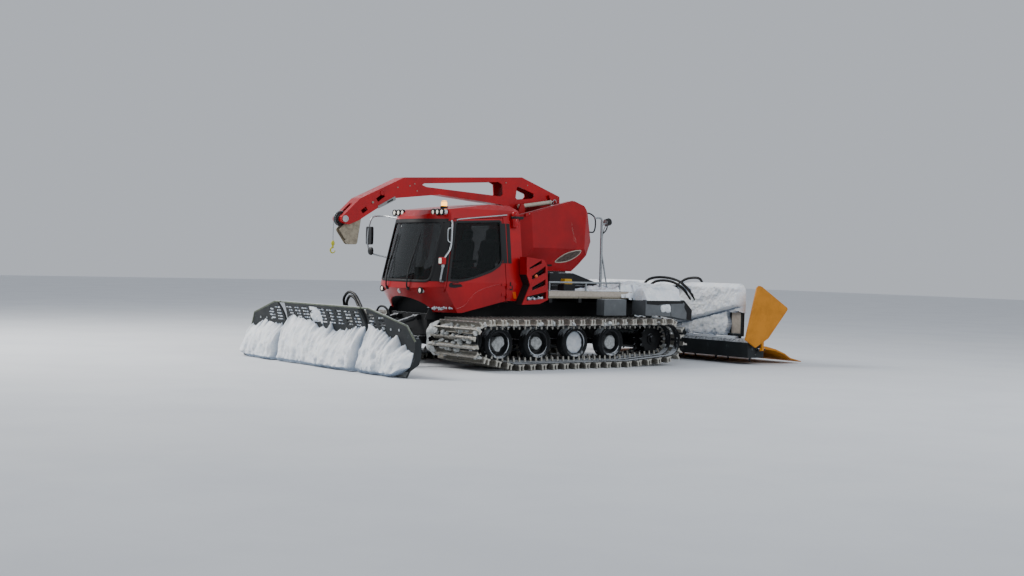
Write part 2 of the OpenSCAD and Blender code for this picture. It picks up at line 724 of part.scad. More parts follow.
/* Winch and boom */
HOUSING = [[250, housing_z], [790, 1840], [880, 2050], [870, 2680], [-360, 2990], [-600, 2910],
           [-715, 2770], [-880, 2250], [-570, 1810], [-450, housing_z]];
trough_half = 345;
trough_z = 2500;
ear_x = [boom_x - 85, boom_x + 85];
module winch_housing() {
    color("#8e1219") difference() {
        intersection() {
            side(2*housing_half) polygon(HOUSING);
            // Seen from above the front corners are cut off, and below the crease the sides lean in
            linear_extrude(far) polygon([[-900, -430], [-600, -housing_half], [620, -housing_half],
                [885, -430], [885, 430], [620, housing_half], [-600, housing_half], [-900, 430]]);
            front(-far, far) polygon([[-housing_half + 190, housing_z - 1],
                [housing_half - 190, housing_z - 1], [housing_half, 2100], [housing_half - 40, 3100],
                [-housing_half + 40, 3100], [-housing_half, 2100]]);
        }
        box(-560, far, -trough_half, trough_half, trough_z, far);
    }
    color("#8e1219") upright(slew_x, 0, 120, housing_z - 218, housing_z + 20);
    color("#24262a") {
        both_sides() for (y = [180, 300]) side(30, y)
            polygon([[ear_x[0] - 60, trough_z - 20], [ear_x[1] + 40, trough_z - 20],
                [ear_x[1] + 10, boom_z + 60], [BOOM_A[0] + 52, BOOM_A[1]], [BOOM_A[0] + 30, BOOM_A[1] + 45],
                [BOOM_A[0] - 30, BOOM_A[1] + 45], [BOOM_A[0] - 52, BOOM_A[1]], [ear_x[0] - 10, boom_z + 60]]);
        cross_bar(boom_x, boom_z, boom_pin_r, -190, 190);
        both_sides() cross_bar(BOOM_A[0], BOOM_A[1], PIN_R, 190, 300);
    }
}
BOOM = concat([[-335, 2935], [430, 2850]], arc(boom_x, boom_z, 88, 165, 345, 10),
              [[960, 2850], [1080, 2870], [2420, 2980], [3370, 2870], [3670, 2700], [4070, 2460],
               [4260, 2385]],
              arc(sheave_x, sheave_z, 72, -80, 70, 6),
              [[4040, 2840], [3580, 3050], [3170, 3240], [580, 3390], [-330, 3075]]);
BOOM_SLOT = [[1050, 3015], [2700, 3100], [2790, 3130], [2740, 3165], [1120, 3275], [1030, 3235], [1010, 3060]];
BOOM_HOLE = [[330, 3010], [680, 2975], [715, 3010], [690, 3200], [640, 3215], [290, 3100], [285, 3050]];
ARM_SLOTS = [[3640, 2870, 170], [3960, 2640, 120]];
module boom() {
    color("#b3141e") {
        difference() {
            side(2*boom_half) polygon(BOOM);
            side(2*(boom_half - boom_plate)) polygon(inset(BOOM, boom_plate));
            side(far) polygon(BOOM_SLOT);
            side(far) polygon(BOOM_HOLE);
            for (s = ARM_SLOTS) side(far) translate([s[0], s[1]]) rotate(-36)
                square([s[2], 70], center = true);
            cross_bar(boom_x, boom_z, boom_pin_r + pin_gap, -far, far);
            // Slot of the fork that takes the rope sheave
            side(2*46) polygon([[4130, 2200], [4600, 2200], [4600, 2800], [4130, 2800]]);
        }
        // Tubes round the pivot pin and across the tail
        difference() {
            cross_bar(boom_x, boom_z, 64, -boom_half + 2, boom_half - 2);
            cross_bar(boom_x, boom_z, boom_pin_r + pin_gap, -far, far);
        }
        both_sides() {
            side(24, boom_eye_y) {
                translate(BOOM_B) circle(48);
                polygon([[BOOM_B[0] - 48, BOOM_B[1]], [BOOM_B[0] + 48, BOOM_B[1]],
                    [BOOM_B[0] + 90, BOOM_B[1] + 120], [BOOM_B[0] - 90, BOOM_B[1] + 120]]);
            }
            box(BOOM_B[0] - 80, BOOM_B[0] + 80, boom_half - 10, boom_eye_y + 12, BOOM_B[1] + 80,
                BOOM_B[1] + 120);
            cross_bar(BOOM_B[0], BOOM_B[1], link_r, boom_eye_y, boom_cyl_y + rod_w/2);
        }
        cross_bar(sheave_x, sheave_z, 28, -boom_half + 5, boom_half - 5);
    }
}
module rope_sheave() {
    color("#77797a") translate([sheave_x, 0, sheave_z]) rotate([90, 0, 0]) rotate_extrude($fn = 72)
        polygon([[28 + pin_gap, -38], [60, -38], [60, -14], [sheave_r - 45, -14], [sheave_r, -34],
                 [sheave_r, -24], [sheave_r - 28, 0], [sheave_r, 24], [sheave_r, 34],
                 [sheave_r - 45, 14], [60, 14], [60, 38], [28 + pin_gap, 38]]);
}

/* Hydraulic cylinders in the side view, each with its base pin a and rod eye b */
// The rod's eye is loose on its pin: the eye drifts by a few millimetres over the travel
link_r = 18;
link_gap = 13;
rod_w = 56;
boom_cyl_y = 240;
boom_eye_y = 194;
// Barrel and rod lengths come from the shortest and longest distance of the two pins
function barrel_len(lo) = lo - 75;
function rod_len(lo, hi) = hi - barrel_len(lo) + 70;
module along(a, b, y) {
    translate([a[0], y, a[1]]) rotate([0, -atan2(b[1] - a[1], b[0] - a[0]), 0]) children();
}
module barrel(a, b, y, span, r) {
    along(a, b, y) difference() {
        union() {
            cross_bar(0, 0, PIN_R + 15, -eye_w/2, eye_w/2);
            rotate([0, 90, 0]) cylinder(h = ear_r + pass_gap + 5, r = eye_w/2 - 3);
            rotate([0, 90, 0]) translate([0, 0, ear_r + pass_gap])
                cylinder(h = barrel_len(span[0]) - ear_r - pass_gap, r = r);
            rotate([0, 90, 0]) translate([0, 0, barrel_len(span[0]) - 34]) cylinder(h = 34, r = r + 6);
        }
        cross_bar(0, 0, PIN_R + pin_gap, -far, far);
        rotate([0, 90, 0]) translate([0, 0, span[0] - rod_len(span[0], span[1]) - 10])
            cylinder(h = far, r = r*0.6 + pin_gap);
    }
}
module rod(a, b, y, span, r) {
    l = norm(b - a);
    eye = link_r + link_gap + 12;
    along(a, b, y) difference() {
        union() {
            cross_bar(l, 0, eye, -rod_w/2, rod_w/2);
            rotate([0, 90, 0]) translate([0, 0, l - rod_len(span[0], span[1])])
                cylinder(h = rod_len(span[0], span[1]) - eye + 8, r = r*0.6);
        }
        cross_bar(l, 0, link_r + link_gap, -far, far);
    }
}
BOOM_SPAN = [805, 905];
PUSH_SPAN = [795, 1020];
LIFT_SPAN = [695, 955];
boom_bore = 38;
push_bore = 46;
lift_bore = 48;
module boom_barrels() {
    color("#c9c6ba") both_sides() barrel(BOOM_A, BOOM_B, boom_cyl_y, BOOM_SPAN, boom_bore);
}
module boom_rods() {
    color("#d5d7d8") both_sides() rod(BOOM_A, BOOM_B, boom_cyl_y, BOOM_SPAN, boom_bore);
}
module blade_barrels() {
    color("#222427") both_sides() barrel(PUSH_A, PUSH_B, cyl_y, PUSH_SPAN, push_bore);
}
module blade_rods() {
    color("#d5d7d8") both_sides() rod(PUSH_A, PUSH_B, cyl_y, PUSH_SPAN, push_bore);
}
module lift_barrels() {
    color("#222427") both_sides() barrel(LIFT_A, LIFT_B, cyl_y, LIFT_SPAN, lift_bore);
}
module lift_rods() {
    color("#d5d7d8") both_sides() rod(LIFT_A, LIFT_B, cyl_y, LIFT_SPAN, lift_bore);
}

/* Front blade */
// Two plate lugs that take a rod eye between them, rising from z_root, and its pin
module rod_lugs(b, y, x0, x1, z_root) {
    w = rod_w/2 + pass_gap;
    for (s = [-1, 1]) side(20, y + s*(w + 10)) {
        translate(b) circle(44);
        polygon([[b[0] - 44, b[1]], [x0, z_root], [x1, z_root], [b[0] + 44, b[1]]]);
    }
    cross_bar(b[0], b[1], link_r, y - w - 10, y + w + 10);
}
module push_frame() {
    color("#1f2124") {
        both_sides() {
            difference() {
                side(arm_w, arm_y) {
                    translate([push_x, push_z]) circle(56);
                    polygon([[push_x, push_z - 56], [3780, 330], [3980, 330], [3980, 520],
                             [3740, 520], [push_x, push_z + 56]]);
                }
                cross_bar(push_x, push_z, PIN_R + pin_gap, 0, far);
            }
            rod_lugs(PUSH_B, cyl_y, 3780, 3980, 480);
        }
        box(3840, 3980, -arm_y - arm_w/2, arm_y + arm_w/2, 340, 500);
        for (z = [300, 530]) {
            upright(swing_x, 0, 78, z, z + 36);
            box(3900, swing_x, -78, 78, z, z + 36);
        }
        box(3900, 3990, -78, 78, 300, 566);
        upright(swing_x, 0, 38, 300, 566);
    }
}
tilt_z = 433;
tilt_pin = 45;
yoke_face = 4290;
module blade_yoke() {
    color("#1f2124") {
        difference() {
            union() {
                upright(swing_x, 0, 76, 336 + pass_gap, 530 - pass_gap);
                box(swing_x, yoke_face - 60, -62, 62, 336 + pass_gap, 530 - pass_gap);
            }
            upright(swing_x, 0, 38 + pin_gap, 0, far);
        }
        box(yoke_face - 80, yoke_face, -260, 260, 300, 566);
        translate([yoke_face - 10, 0, tilt_z]) rotate([0, 90, 0]) cylinder(h = 112, r = tilt_pin);
    }
}
face_r = (pow((blade_top - blade_lift)/2, 2) + pow(blade_sag, 2))/(2*blade_sag);
face_mid = (blade_top + blade_lift)/2;
face_half = asin((blade_top - blade_lift)/2/face_r);
face_cx = blade_face_x - blade_sag + face_r;
wing_hinge_x = blade_face_x - blade_sag - blade_t/2;
wing_hinge_y = mid_half + 22;
fold_miter = 37;
// The blade's side section: the hollow face, and the same arc one plate further back
module blade_section() {
    polygon(concat(arc(face_cx, face_mid, face_r, 180 + face_half, 180 - face_half, 16),
                   arc(face_cx, face_mid, face_r + blade_t, 180 - face_half, 180 + face_half, 16)));
}
// Slots of the snow grille: each group is a column of short slots
module grille(y0, cols, top) {
    for (c = [0:cols - 1]) for (r = [0:4])
        if (top[c] - r*52 > 700)
            box(4000, 5000, y0 + c*275, y0 + c*275 + 170, top[c] - r*52 - 24, top[c] - r*52);
}
module rib(y, w) {
    side(w, y) difference() {
        polygon([[4420, 340], [4460, 200], [4640, 90], [4700, 90], [4700, 900], [4640, 900],
                 [4470, 620], [4420, 540]]);
        translate([face_cx, face_mid]) circle(face_r + blade_t - 4, $fn = 96);
    }
}
module blade_middle() {
    color("#25292b") {
        difference() {
            side(2*mid_half) blade_section();
            grille(-1190, 9, [for (c = [0:8]) 960]);
            both_sides() miter_cut(-1);
        }
        for (y = [-1150, -760, -380, 380, 760, 1150]) rib(y, 16);
        box(4400, 4540, -1200, 1200, 380, 490);
        difference() {
            box(yoke_face + pass_gap, 4420, -120, 120, tilt_z - 105, tilt_z + 105);
            translate([4000, 0, tilt_z]) rotate([0, 90, 0]) cylinder(h = 402 + pin_gap, r = tilt_pin + pin_gap);
        }
        both_sides() for (z = [420, 560]) knuckle(z, 56, -1);
    }
}
// Cuts a lip back beside the wing hinge so that the wing can fold forward
module miter_cut(s) {
    translate([wing_hinge_x, wing_hinge_y, 0]) linear_extrude(far)
        polygon([[-200, 0], [-200, s*22], [0, s*22], [13, s*22], [400, s*(22 + 387*tan(fold_miter))], [400, 0]]);
}
module knuckle(z, h, s) {
    difference() {
        union() {
            upright(wing_hinge_x, wing_hinge_y, 16, z, z + h);
            box(wing_hinge_x - 9, wing_hinge_x + 9, wing_hinge_y + (s < 0 ? -26 : 0),
                wing_hinge_y + (s < 0 ? 0 : 26), z, z + h);
        }
        if (s > 0) upright(wing_hinge_x, wing_hinge_y, 8 + pin_gap, z - 1, z + h + 1);
    }
    if (s < 0) upright(wing_hinge_x, wing_hinge_y, 8, 440, 600);
}
module blade_wing(s) {
    end_y = wing_hinge_y + 22 + wing_w;
    color("#25292b") mirror([0, s < 0 ? 1 : 0, 0]) {
        difference() {
            intersection() {
                side(wing_w, end_y - wing_w/2) blade_section();
                front(4000, 5000) polygon([[mid_half, 0], [end_y, 0], [end_y, 560],
                    [end_y - 180, 800], [1550, blade_top + 5], [mid_half, blade_top + 5]]);
            }
            grille(1440, 2, [940, 900]);
            miter_cut(1);
        }
        intersection() {
            union() {
                for (y = [1520, 2000, end_y - 40]) rib(y, 16);
                box(4440, 4540, 1500, end_y - 40, 390, 480);
            }
            front(4000, 5000) polygon([[mid_half, 0], [end_y, 0], [end_y, 560],
                [end_y - 180, 800], [1550, blade_top + 5], [mid_half, blade_top + 5]]);
        }
        knuckle(476 + run_gap, 84 - 2*run_gap, 1);
    }
}

/* Rear tiller */
module lift_frame() {
    color("#1f2124") {
        both_sides() {
            difference() {
                side(arm_w, arm_y) {
                    translate([lift_x, lift_z]) circle(56);
                    polygon([[lift_x, lift_z + 56], [-2800, 640], [-3000, 640], [-3000, 490],
                             [-2800, 490], [lift_x, lift_z - 56]]);
                }
                cross_bar(lift_x, lift_z, PIN_R + pin_gap, 0, far);
            }
            rod_lugs(LIFT_B, cyl_y, -2990, -2800, 600);
            side(60, 600) polygon([[-2990, 500], [-2900, 500], [-2900, 640], [hood_front, hood_z + 80],
                                   [hood_front, hood_z + 10 + seat]]);
        }
        box(-3000, -2890, -900, 900, 500, 640);
        for (y = [-600, 600]) box(hood_flat[1] - 10, -2980, y - 60, y + 60, hood_z + seat, 560);
    }
}
hood_z = 480;
hood_r = tooth_r + 14;
hood_front = shaft_x + 200;
hood_rear = shaft_x - 240;
// Flat top of the hood
hood_flat = [shaft_x - 170, shaft_x + 140];
module tiller_housing() {
    color("#2b2e31") difference() {
        union() {
            difference() {
                side(2*tiller_half) polygon([[hood_front, 130], [hood_front, 420], [hood_flat[1], hood_z],
                    [hood_flat[0], hood_z], [hood_rear, 400], [hood_rear, 130]]);
                side(2*tiller_half - 60) {
                    translate([shaft_x, shaft_z]) circle(hood_r, $fn = 64);
                    polygon([[shaft_x - hood_r, 0], [shaft_x + hood_r, 0], [shaft_x + hood_r, shaft_z],
                             [shaft_x - hood_r, shaft_z]]);
                }
                box(-far, 0, -far, far, -1, 129);
            }
        }
        cross_bar(shaft_x, shaft_z, 40 + pin_gap, -tiller_half - 1, tiller_half + 1);
    }
    color("#2b2e31") both_sides() wing_pin();
}
side_wing_y = tiller_half + side_wing_gap + side_wing_t/2;
wing_axis_y = side_wing_y - 30;
wing_axis_z = 290;
module wing_pin() {
    for (x = [shaft_x - 210, shaft_x - 60]) {
        translate([x, wing_axis_y, wing_axis_z]) rotate([0, 90, 0]) cylinder(h = 40, r = 26);
        box(x, x + 40, tiller_half - 5, wing_axis_y, wing_axis_z - 26, wing_axis_z + 10);
    }
    translate([shaft_x - 210, wing_axis_y, wing_axis_z]) rotate([0, 90, 0]) cylinder(h = 190, r = 14);
}
tooth_rows = 22;
module tiller_rotor() {
    color("#4b4e50") {
        cross_bar(shaft_x, shaft_z, shaft_r, -tiller_half + 36, tiller_half - 36);
        cross_bar(shaft_x, shaft_z, 40, -tiller_half + 6, tiller_half - 6);
        for (i = [0:tooth_rows - 1]) for (k = [0:1]) {
            y = -tiller_half + 110 + i*(2*tiller_half - 220)/(tooth_rows - 1);
            translate([shaft_x, y, shaft_z]) rotate([0, i*47 + k*180, 0])
                side(18) polygon([[shaft_r - 12, -30], [tooth_r - 8, 10], [tooth_r, 32], [tooth_r - 22, 30],
                                  [shaft_r - 12, 34]]);
        }
    }
}
screen_x = shaft_x + 50;
module snow_screen() {
    post = 50;
    function outline(t) = concat([[-screen_half + t, 520 + t], [screen_half - t, 520 + t]],
        arc(screen_half - 170, screen_z - 170, 170 - t, 0, 90, 6),
        arc(-screen_half + 170, screen_z - 170, 170 - t, 90, 180, 6));
    color("#3a3d3f") {
        front(screen_x - post, screen_x) difference() {
            polygon(outline(0));
            polygon(outline(post));
        }
        for (y = [-1300, -600, 0, 600, 1300]) box(screen_x - post, screen_x, y - 25, y + 25, 540, screen_z - 20);
        for (y = [-2000, -600, 600, 2000]) box(screen_x - post, screen_x, y - 25, y + 25, hood_z + seat, 540);
        front(screen_x - post, screen_x - post + 10) polygon(outline(10));
    }
}
COMB = [[hood_rear - seat, 345], [hood_rear - seat, 300], [-3990, 250], [-4250, 165], [-4400, 85],
        [comb_rear, 25], [comb_rear, 42], [-4395, 112], [-4240, 198], [-3980, 285], [hood_rear - 70, 345]];
module finishing_comb() {
    tine = 60;
    n = floor(2*tiller_half/tine/2);
    color("#b5802a") difference() {
        side(2*tiller_half) polygon(COMB);
        for (i = [-n:n]) box(comb_rear - 10, -4480, i*tine*2/2 - 12, i*tine*2/2 + 12, 0, 400);
    }
}
SIDE_WING = [[-3310, 330], [-3660, 500], [-4170, 1030], [-4185, 1060], [-4165, 1090], [-3440, 1485],
             [-3370, 1500], [-3310, 1460], [-3030, 480]];
module side_wing(s) {
    color("#d08f1e") mirror([0, s < 0 ? 1 : 0, 0]) {
        side(side_wing_t, side_wing_y) polygon([for (k = [len(SIDE_WING) - 1:-1:0]) SIDE_WING[k]]);
        difference() {
            union() {
                translate([shaft_x - 170 + run_gap, wing_axis_y, wing_axis_z]) rotate([0, 90, 0])
                    cylinder(h = 110 - 2*run_gap, r = 30);
                box(shaft_x - 150, shaft_x - 90, wing_axis_y, side_wing_y + side_wing_t/2,
                    wing_axis_z - 20, wing_axis_z + 30);
                box(shaft_x - 150, shaft_x - 90, side_wing_y - side_wing_t/2, side_wing_y + side_wing_t/2,
                    wing_axis_z, 480);
            }
            translate([-far, wing_axis_y, wing_axis_z]) rotate([0, 90, 0]) cylinder(h = far, r = 14 + pin_gap);
        }
    }
}

chassis_tub();
body_frame();
engine_block();
axles();
wheel_tyres();
wheel_rims();
sprockets();
belts();  // belts_left
mirror([0, 1, 0]) belts();  // belts_right
shoes();  // shoes_left
mirror([0, 1, 0]) shoes();  // shoes_right
cab_frame();
cab_roof();
windscreen();
rear_window();
cab_console();
cab_seats();
roof_lamps();
mirrors();
door(1);  // door_left
door(-1);  // door_right
door_glass(1);  // door_glass_left
door_glass(-1);  // door_glass_right
louvre_pods();
deck();
deck_rails();
rear_side_boxes();
light_mast();
slewing_base();
winch_housing();
boom();
rope_sheave();
boom_barrels();
boom_rods();
push_frame();
blade_yoke();
blade_middle();
blade_wing(1);  // blade_wing_left
blade_wing(-1);  // blade_wing_right
blade_barrels();
blade_rods();
lift_frame();
tiller_housing();
tiller_rotor();
snow_screen();
finishing_comb();
side_wing(1);  // side_wing_left
side_wing(-1);  // side_wing_right
lift_barrels();
lift_rods();
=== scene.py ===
import math

import bmesh
import bpy
import numpy as np
from mathutils import Matrix


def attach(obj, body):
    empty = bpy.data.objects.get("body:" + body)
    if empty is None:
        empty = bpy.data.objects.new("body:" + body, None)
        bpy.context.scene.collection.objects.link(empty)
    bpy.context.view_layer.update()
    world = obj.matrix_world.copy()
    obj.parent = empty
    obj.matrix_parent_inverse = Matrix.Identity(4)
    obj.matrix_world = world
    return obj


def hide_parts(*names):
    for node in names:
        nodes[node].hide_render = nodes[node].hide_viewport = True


# Snow groomer with front blade, winch boom and rear tiller. Metres, +X forward, +Y to the machine's left, +Z up.
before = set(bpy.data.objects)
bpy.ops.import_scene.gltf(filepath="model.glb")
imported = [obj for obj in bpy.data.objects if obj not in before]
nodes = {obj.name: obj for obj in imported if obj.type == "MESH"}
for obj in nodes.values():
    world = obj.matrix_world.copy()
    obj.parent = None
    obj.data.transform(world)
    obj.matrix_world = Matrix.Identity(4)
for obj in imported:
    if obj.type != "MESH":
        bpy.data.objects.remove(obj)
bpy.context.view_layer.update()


SIDES = (("left", 1), ("right", -1))
SHARP_ANGLE = math.radians(38)
SIDEWAYS = np.array([0.0, 1.0, 0.0])


# Mesh making

def lumps(p, size, seed=0.0):
    """Smooth random field in -1..1 at points p: random values on a cubic lattice spaced by size,
    mixed by the smoothstep of the place between the lattice points."""
    q = np.asarray(p, float) / size
    cell = np.floor(q)
    f = q - cell
    f = f * f * (3 - 2 * f)
    total = 0.0
    for corner in np.ndindex(2, 2, 2):
        h = np.sin((cell + corner) @ np.array([12.9898, 78.233, 37.719]) + seed) * 43758.5453
        weight = np.prod(np.where(np.array(corner) == 1, f, 1 - f), axis=-1)
        total = total + (h - np.floor(h)) * weight
    return 2 * total - 1


def rough_field(p, size, seed=0.0, steps=3):
    """Sum of lumps at size, size/2, size/4..., each half as strong as the one before."""
    return sum(lumps(p, size / 2**k, seed + 7.1 * k) / 2**k for k in range(steps))


def grid_faces(n, m, wrap_n=False, wrap_m=False, start=0):
    """Quads of an n by m grid of points, row by row; a wrapped side joins its last row to its first."""
    i = np.arange(n if wrap_n else n - 1)[:, None]
    j = np.arange(m if wrap_m else m - 1)[None, :]
    a, b, c, d = (i % n) * m + j, ((i + 1) % n) * m + j, ((i + 1) % n) * m + (j + 1) % m, (i % n) * m + (j + 1) % m
    return np.stack(np.broadcast_arrays(a, b, c, d), -1).reshape(-1, 4) + start


def ring_faces(n, m):
    """Faces of n rings of m points: quads from ring to ring, and a flat end on the first and the last."""
    return [tuple(f) for f in grid_faces(n, m, wrap_m=True)] + [tuple(range(m))[::-1],
        tuple(np.arange(m) + (n - 1) * m)]


def piece(name, shape, material, body="root", smooth=True, bevel=None):
    """An object from a shape (points and faces), riding on a body, with its normals turned outwards."""
    verts, faces = np.asarray(shape[0], float).reshape(-1, 3), [tuple(int(i) for i in f) for f in shape[1]]
    used = np.unique(np.concatenate([np.array(f) for f in faces]))
    place = np.zeros(used[-1] + 1, int)
    place[used] = np.arange(len(used))
    mesh = bpy.data.meshes.new(name)
    mesh.from_pydata(verts[used].tolist(), [], [tuple(place[list(f)].tolist()) for f in faces])
    mesh.validate()
    work = bmesh.new()
    work.from_mesh(mesh)
    bmesh.ops.recalc_face_normals(work, faces=work.faces)
    work.to_mesh(mesh)
    work.free()
    mesh.polygons.foreach_set("use_smooth", np.full(len(mesh.polygons), smooth))
    if smooth:
        mesh.set_sharp_from_angle(angle=SHARP_ANGLE)
    obj = bpy.data.objects.new(name, mesh)
    bpy.context.scene.collection.objects.link(obj)
    obj.data.materials.append(material)
    if bevel:
        mod = obj.modifiers.new("edges", "BEVEL")
        mod.width, mod.segments, mod.limit_method = bevel, 2, "ANGLE"
    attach(obj, body)
    return obj


def shell_mesh(front, back):
    """Closed skin between two grids of the same n by m: the front, the back and the strip round their rim."""
    n, m = front.shape[:2]
    verts = np.concatenate([front.reshape(-1, 3), back.reshape(-1, 3)])
    rim = np.concatenate([np.arange(m), np.arange(1, n) * m + m - 1,
                          (n - 1) * m + np.arange(m - 2, -1, -1), np.arange(n - 2, 0, -1) * m])
    after = np.roll(rim, -1)
    strip = stacked(rim, after, after + n * m, rim + n * m)
    faces = np.concatenate([grid_faces(n, m)[:, ::-1], grid_faces(n, m, start=n * m), strip])
    return verts, faces


def square_to(axis):
    """A vector square to an axis: level, unless the axis is nearly upright."""
    return np.cross(axis, (0.0, 0.0, 1.0) if abs(axis[2]) < .9 else (1.0, 0.0, 0.0))


def sweep_mesh(path, radius, sides=10, closed=False):
    """Tube round a path: rings of points at radius (a number, or one per path point), square to the path,
    their zero direction carried along without twist; flat ends unless closed."""
    path = np.asarray(path, float)
    radius = np.broadcast_to(radius, len(path))
    if closed:
        ahead = np.roll(path, -1, 0) - np.roll(path, 1, 0)
    else:
        ahead = np.gradient(path, axis=0)
    ahead /= np.linalg.norm(ahead, axis=1)[:, None]
    side = np.zeros_like(path)
    side[0] = square_to(ahead[0])
    for k in range(1, len(path)):
        side[k] = side[k - 1] - ahead[k] * (side[k - 1] @ ahead[k])
        side[k] /= np.linalg.norm(side[k])
    side[0] /= np.linalg.norm(side[0])
    up = np.cross(side, ahead)
    turn = np.arange(sides) * 2 * np.pi / sides
    ring = (np.cos(turn)[None, :, None] * side[:, None] + np.sin(turn)[None, :, None] * up[:, None])
    verts = (path[:, None] + ring * radius[:, None, None]).reshape(-1, 3)
    return verts, grid_faces(len(path), sides, wrap_n=True, wrap_m=True) if closed else ring_faces(len(path), sides)


def turned_mesh(outline, centre, axis, sides=32):
    """A turned form: outline rows of (radius, distance along the axis) carried round the axis through centre.
    The ends are closed by their own rings, which may lie on the axis."""
    axis = np.asarray(axis, float) / np.linalg.norm(axis)
    u = square_to(axis)
    u /= np.linalg.norm(u)
    v = np.cross(axis, u)
    turn = np.arange(sides) * 2 * np.pi / sides
    round_ = np.cos(turn)[:, None] * u + np.sin(turn)[:, None] * v
    outline = np.asarray(outline, float)
    verts = np.asarray(centre) + outline[:, 0, None, None] * round_[None] + outline[:, 1, None, None] * axis
    return verts.reshape(-1, 3), ring_faces(len(outline), sides)


def ring_mesh(outline, centre, axis, sides):
    """A turned form whose outline is closed in itself, such as a bezel."""
    return turned_mesh(outline, centre, axis, sides)[0], grid_faces(len(outline), sides, wrap_n=True, wrap_m=True)


def joined(parts):
    """One mesh from several (points, faces) pairs."""
    verts, faces, start = [], [], 0
    for v, f in parts:
        v = np.asarray(v, float).reshape(-1, 3)
        verts.append(v)
        faces += [tuple(int(i) + start for i in face) for face in f]
        start += len(v)
    return np.concatenate(verts), faces


def smooth_path(points, n):
    """n points on the Catmull-Rom curve through the given points."""
    p = np.asarray(points, float)
    p = np.concatenate([[2 * p[0] - p[1]], p, [2 * p[-1] - p[-2]]])
    t = np.linspace(0, len(p) - 3 - 1e-9, n)
    i = t.astype(int)
    f = (t - i)[:, None]
    a, b, c, d = p[i], p[i + 1], p[i + 2], p[i + 3]
    return .5 * (2 * b + (c - a) * f + (2 * a - 5 * b + 4 * c - d) * f**2 + (3 * b - a - 3 * c + d) * f**3)


def cap_mesh(base, out, thick, sink=.008):
    """Cake on a surface: the grid base raised by thick along out. Only cells that hold something stay, so the cake's
    outline is where it dives into the surface; its underside lies sink below, joined by a strip along the outline."""
    n, m = thick.shape
    out = np.asarray(out, float)
    top = base + out * np.maximum(thick, -.6 * sink)[..., None]
    quads = grid_faces(n, m)
    quads = quads[(thick > -.5 * sink).reshape(-1)[quads].any(1)]
    edges = np.concatenate([quads[:, [k, (k + 1) % 4]] for k in range(4)])
    rim = edges[~np.isin(edges[:, 1] * n * m + edges[:, 0], edges[:, 0] * n * m + edges[:, 1])]
    strip = stacked(rim[:, 1], rim[:, 0], rim[:, 0] + n * m, rim[:, 1] + n * m)
    verts = np.concatenate([top.reshape(-1, 3), (base - out * sink).reshape(-1, 3)])
    return verts, np.concatenate([quads, quads[:, ::-1] + n * m, strip])


def stacked(*parts):
    """Arrays put side by side as the coordinates of points."""
    return np.stack(parts, -1)


def net(first, second):
    """Two grids that span two ranges, each given as start, end and count."""
    return np.meshgrid(np.linspace(*first), np.linspace(*second), indexing="ij")


def unit(values):
    """Values held between 0 and 1."""
    return np.clip(values, 0, 1)


def tube(points, n, radius, sides=10):
    """Round bar along the smooth curve through the points."""
    return sweep_mesh(smooth_path(points, n), radius, sides)


def prism(outline, low, high, plane="xz"):
    """A flat outline, drawn in two of the axes, carried along the third from low to high."""
    p = np.asarray(outline, float)
    a, b = "xyz".index(plane[0]), "xyz".index(plane[1])
    k = len(p)
    v = np.zeros((2, k, 3))
    v[:, :, a], v[:, :, b] = p[:, 0], p[:, 1]
    v[0, :, 3 - a - b], v[1, :, 3 - a - b] = low, high
    i = np.arange(k)
    j = np.roll(i, -1)
    return v.reshape(-1, 3), [tuple(q) for q in stacked(i, j, j + k, i + k)] + [tuple(i[::-1]), tuple(i + k)]


def quad_prism(outline, ends, low, high):
    """A prism of quads alone: its flat ends are cut into the quads of points that ends lists."""
    verts, faces = prism(outline, low, high)
    ends = np.array(ends)
    return verts, np.concatenate([np.array([f for f in faces if len(f) == 4]), ends[:, ::-1], ends + len(outline)])


def rounded(outline, r, n=5):
    """An outline with each corner replaced by a curve that starts and ends r from it (less on short sides)."""
    p = np.asarray(outline, float)
    before, after = np.roll(p, 1, 0) - p, np.roll(p, -1, 0) - p
    la, lb = np.linalg.norm(before, axis=1)[:, None], np.linalg.norm(after, axis=1)[:, None]
    a, b = p + before / la * np.minimum(r, .45 * la), p + after / lb * np.minimum(r, .45 * lb)
    t = np.linspace(0, 1, n)[None, :, None]
    return ((1 - t)**2 * a[:, None] + 2 * t * (1 - t) * p[:, None] + t**2 * b[:, None]).reshape(-1, 2)


def plate(outline, r, low, high, plane="xz"):
    """A prism with rounded corners."""
    return prism(rounded(outline, r), low, high, plane)


def even(outline, step):
    """A closed outline as points at even steps along it."""
    p = np.concatenate([outline, outline[:1]])
    way = np.concatenate([[0], np.cumsum(np.linalg.norm(np.diff(p, axis=0), axis=1))])
    s = np.linspace(0, way[-1], max(int(way[-1] / step), 8), endpoint=False)
    return stacked(np.interp(s, way, p[:, 0]), np.interp(s, way, p[:, 1]))


def ribbon(outline, surface, inner, outer, lift):
    """Band along a closed outline on a surface: from inner to outer of it (inwards is negative for a
    counterclockwise outline), lift above the surface, which surface(a, b, out) gives as points."""
    p = np.asarray(outline, float)
    run = np.roll(p, -1, 0) - np.roll(p, 1, 0)
    normal = stacked(run[:, 1], -run[:, 0]) / np.linalg.norm(run, axis=1)[:, None]
    rails = [(outer, -.004), (outer, .7 * lift), (.6 * outer + .4 * inner, lift), (.4 * outer + .6 * inner, lift),
             (inner, .7 * lift), (inner, -.004)]
    grid = np.stack([surface(*(p + normal * w).T, h) for w, h in rails], 1)
    return grid.reshape(-1, 3), grid_faces(len(p), len(rails), wrap_n=True, wrap_m=True)


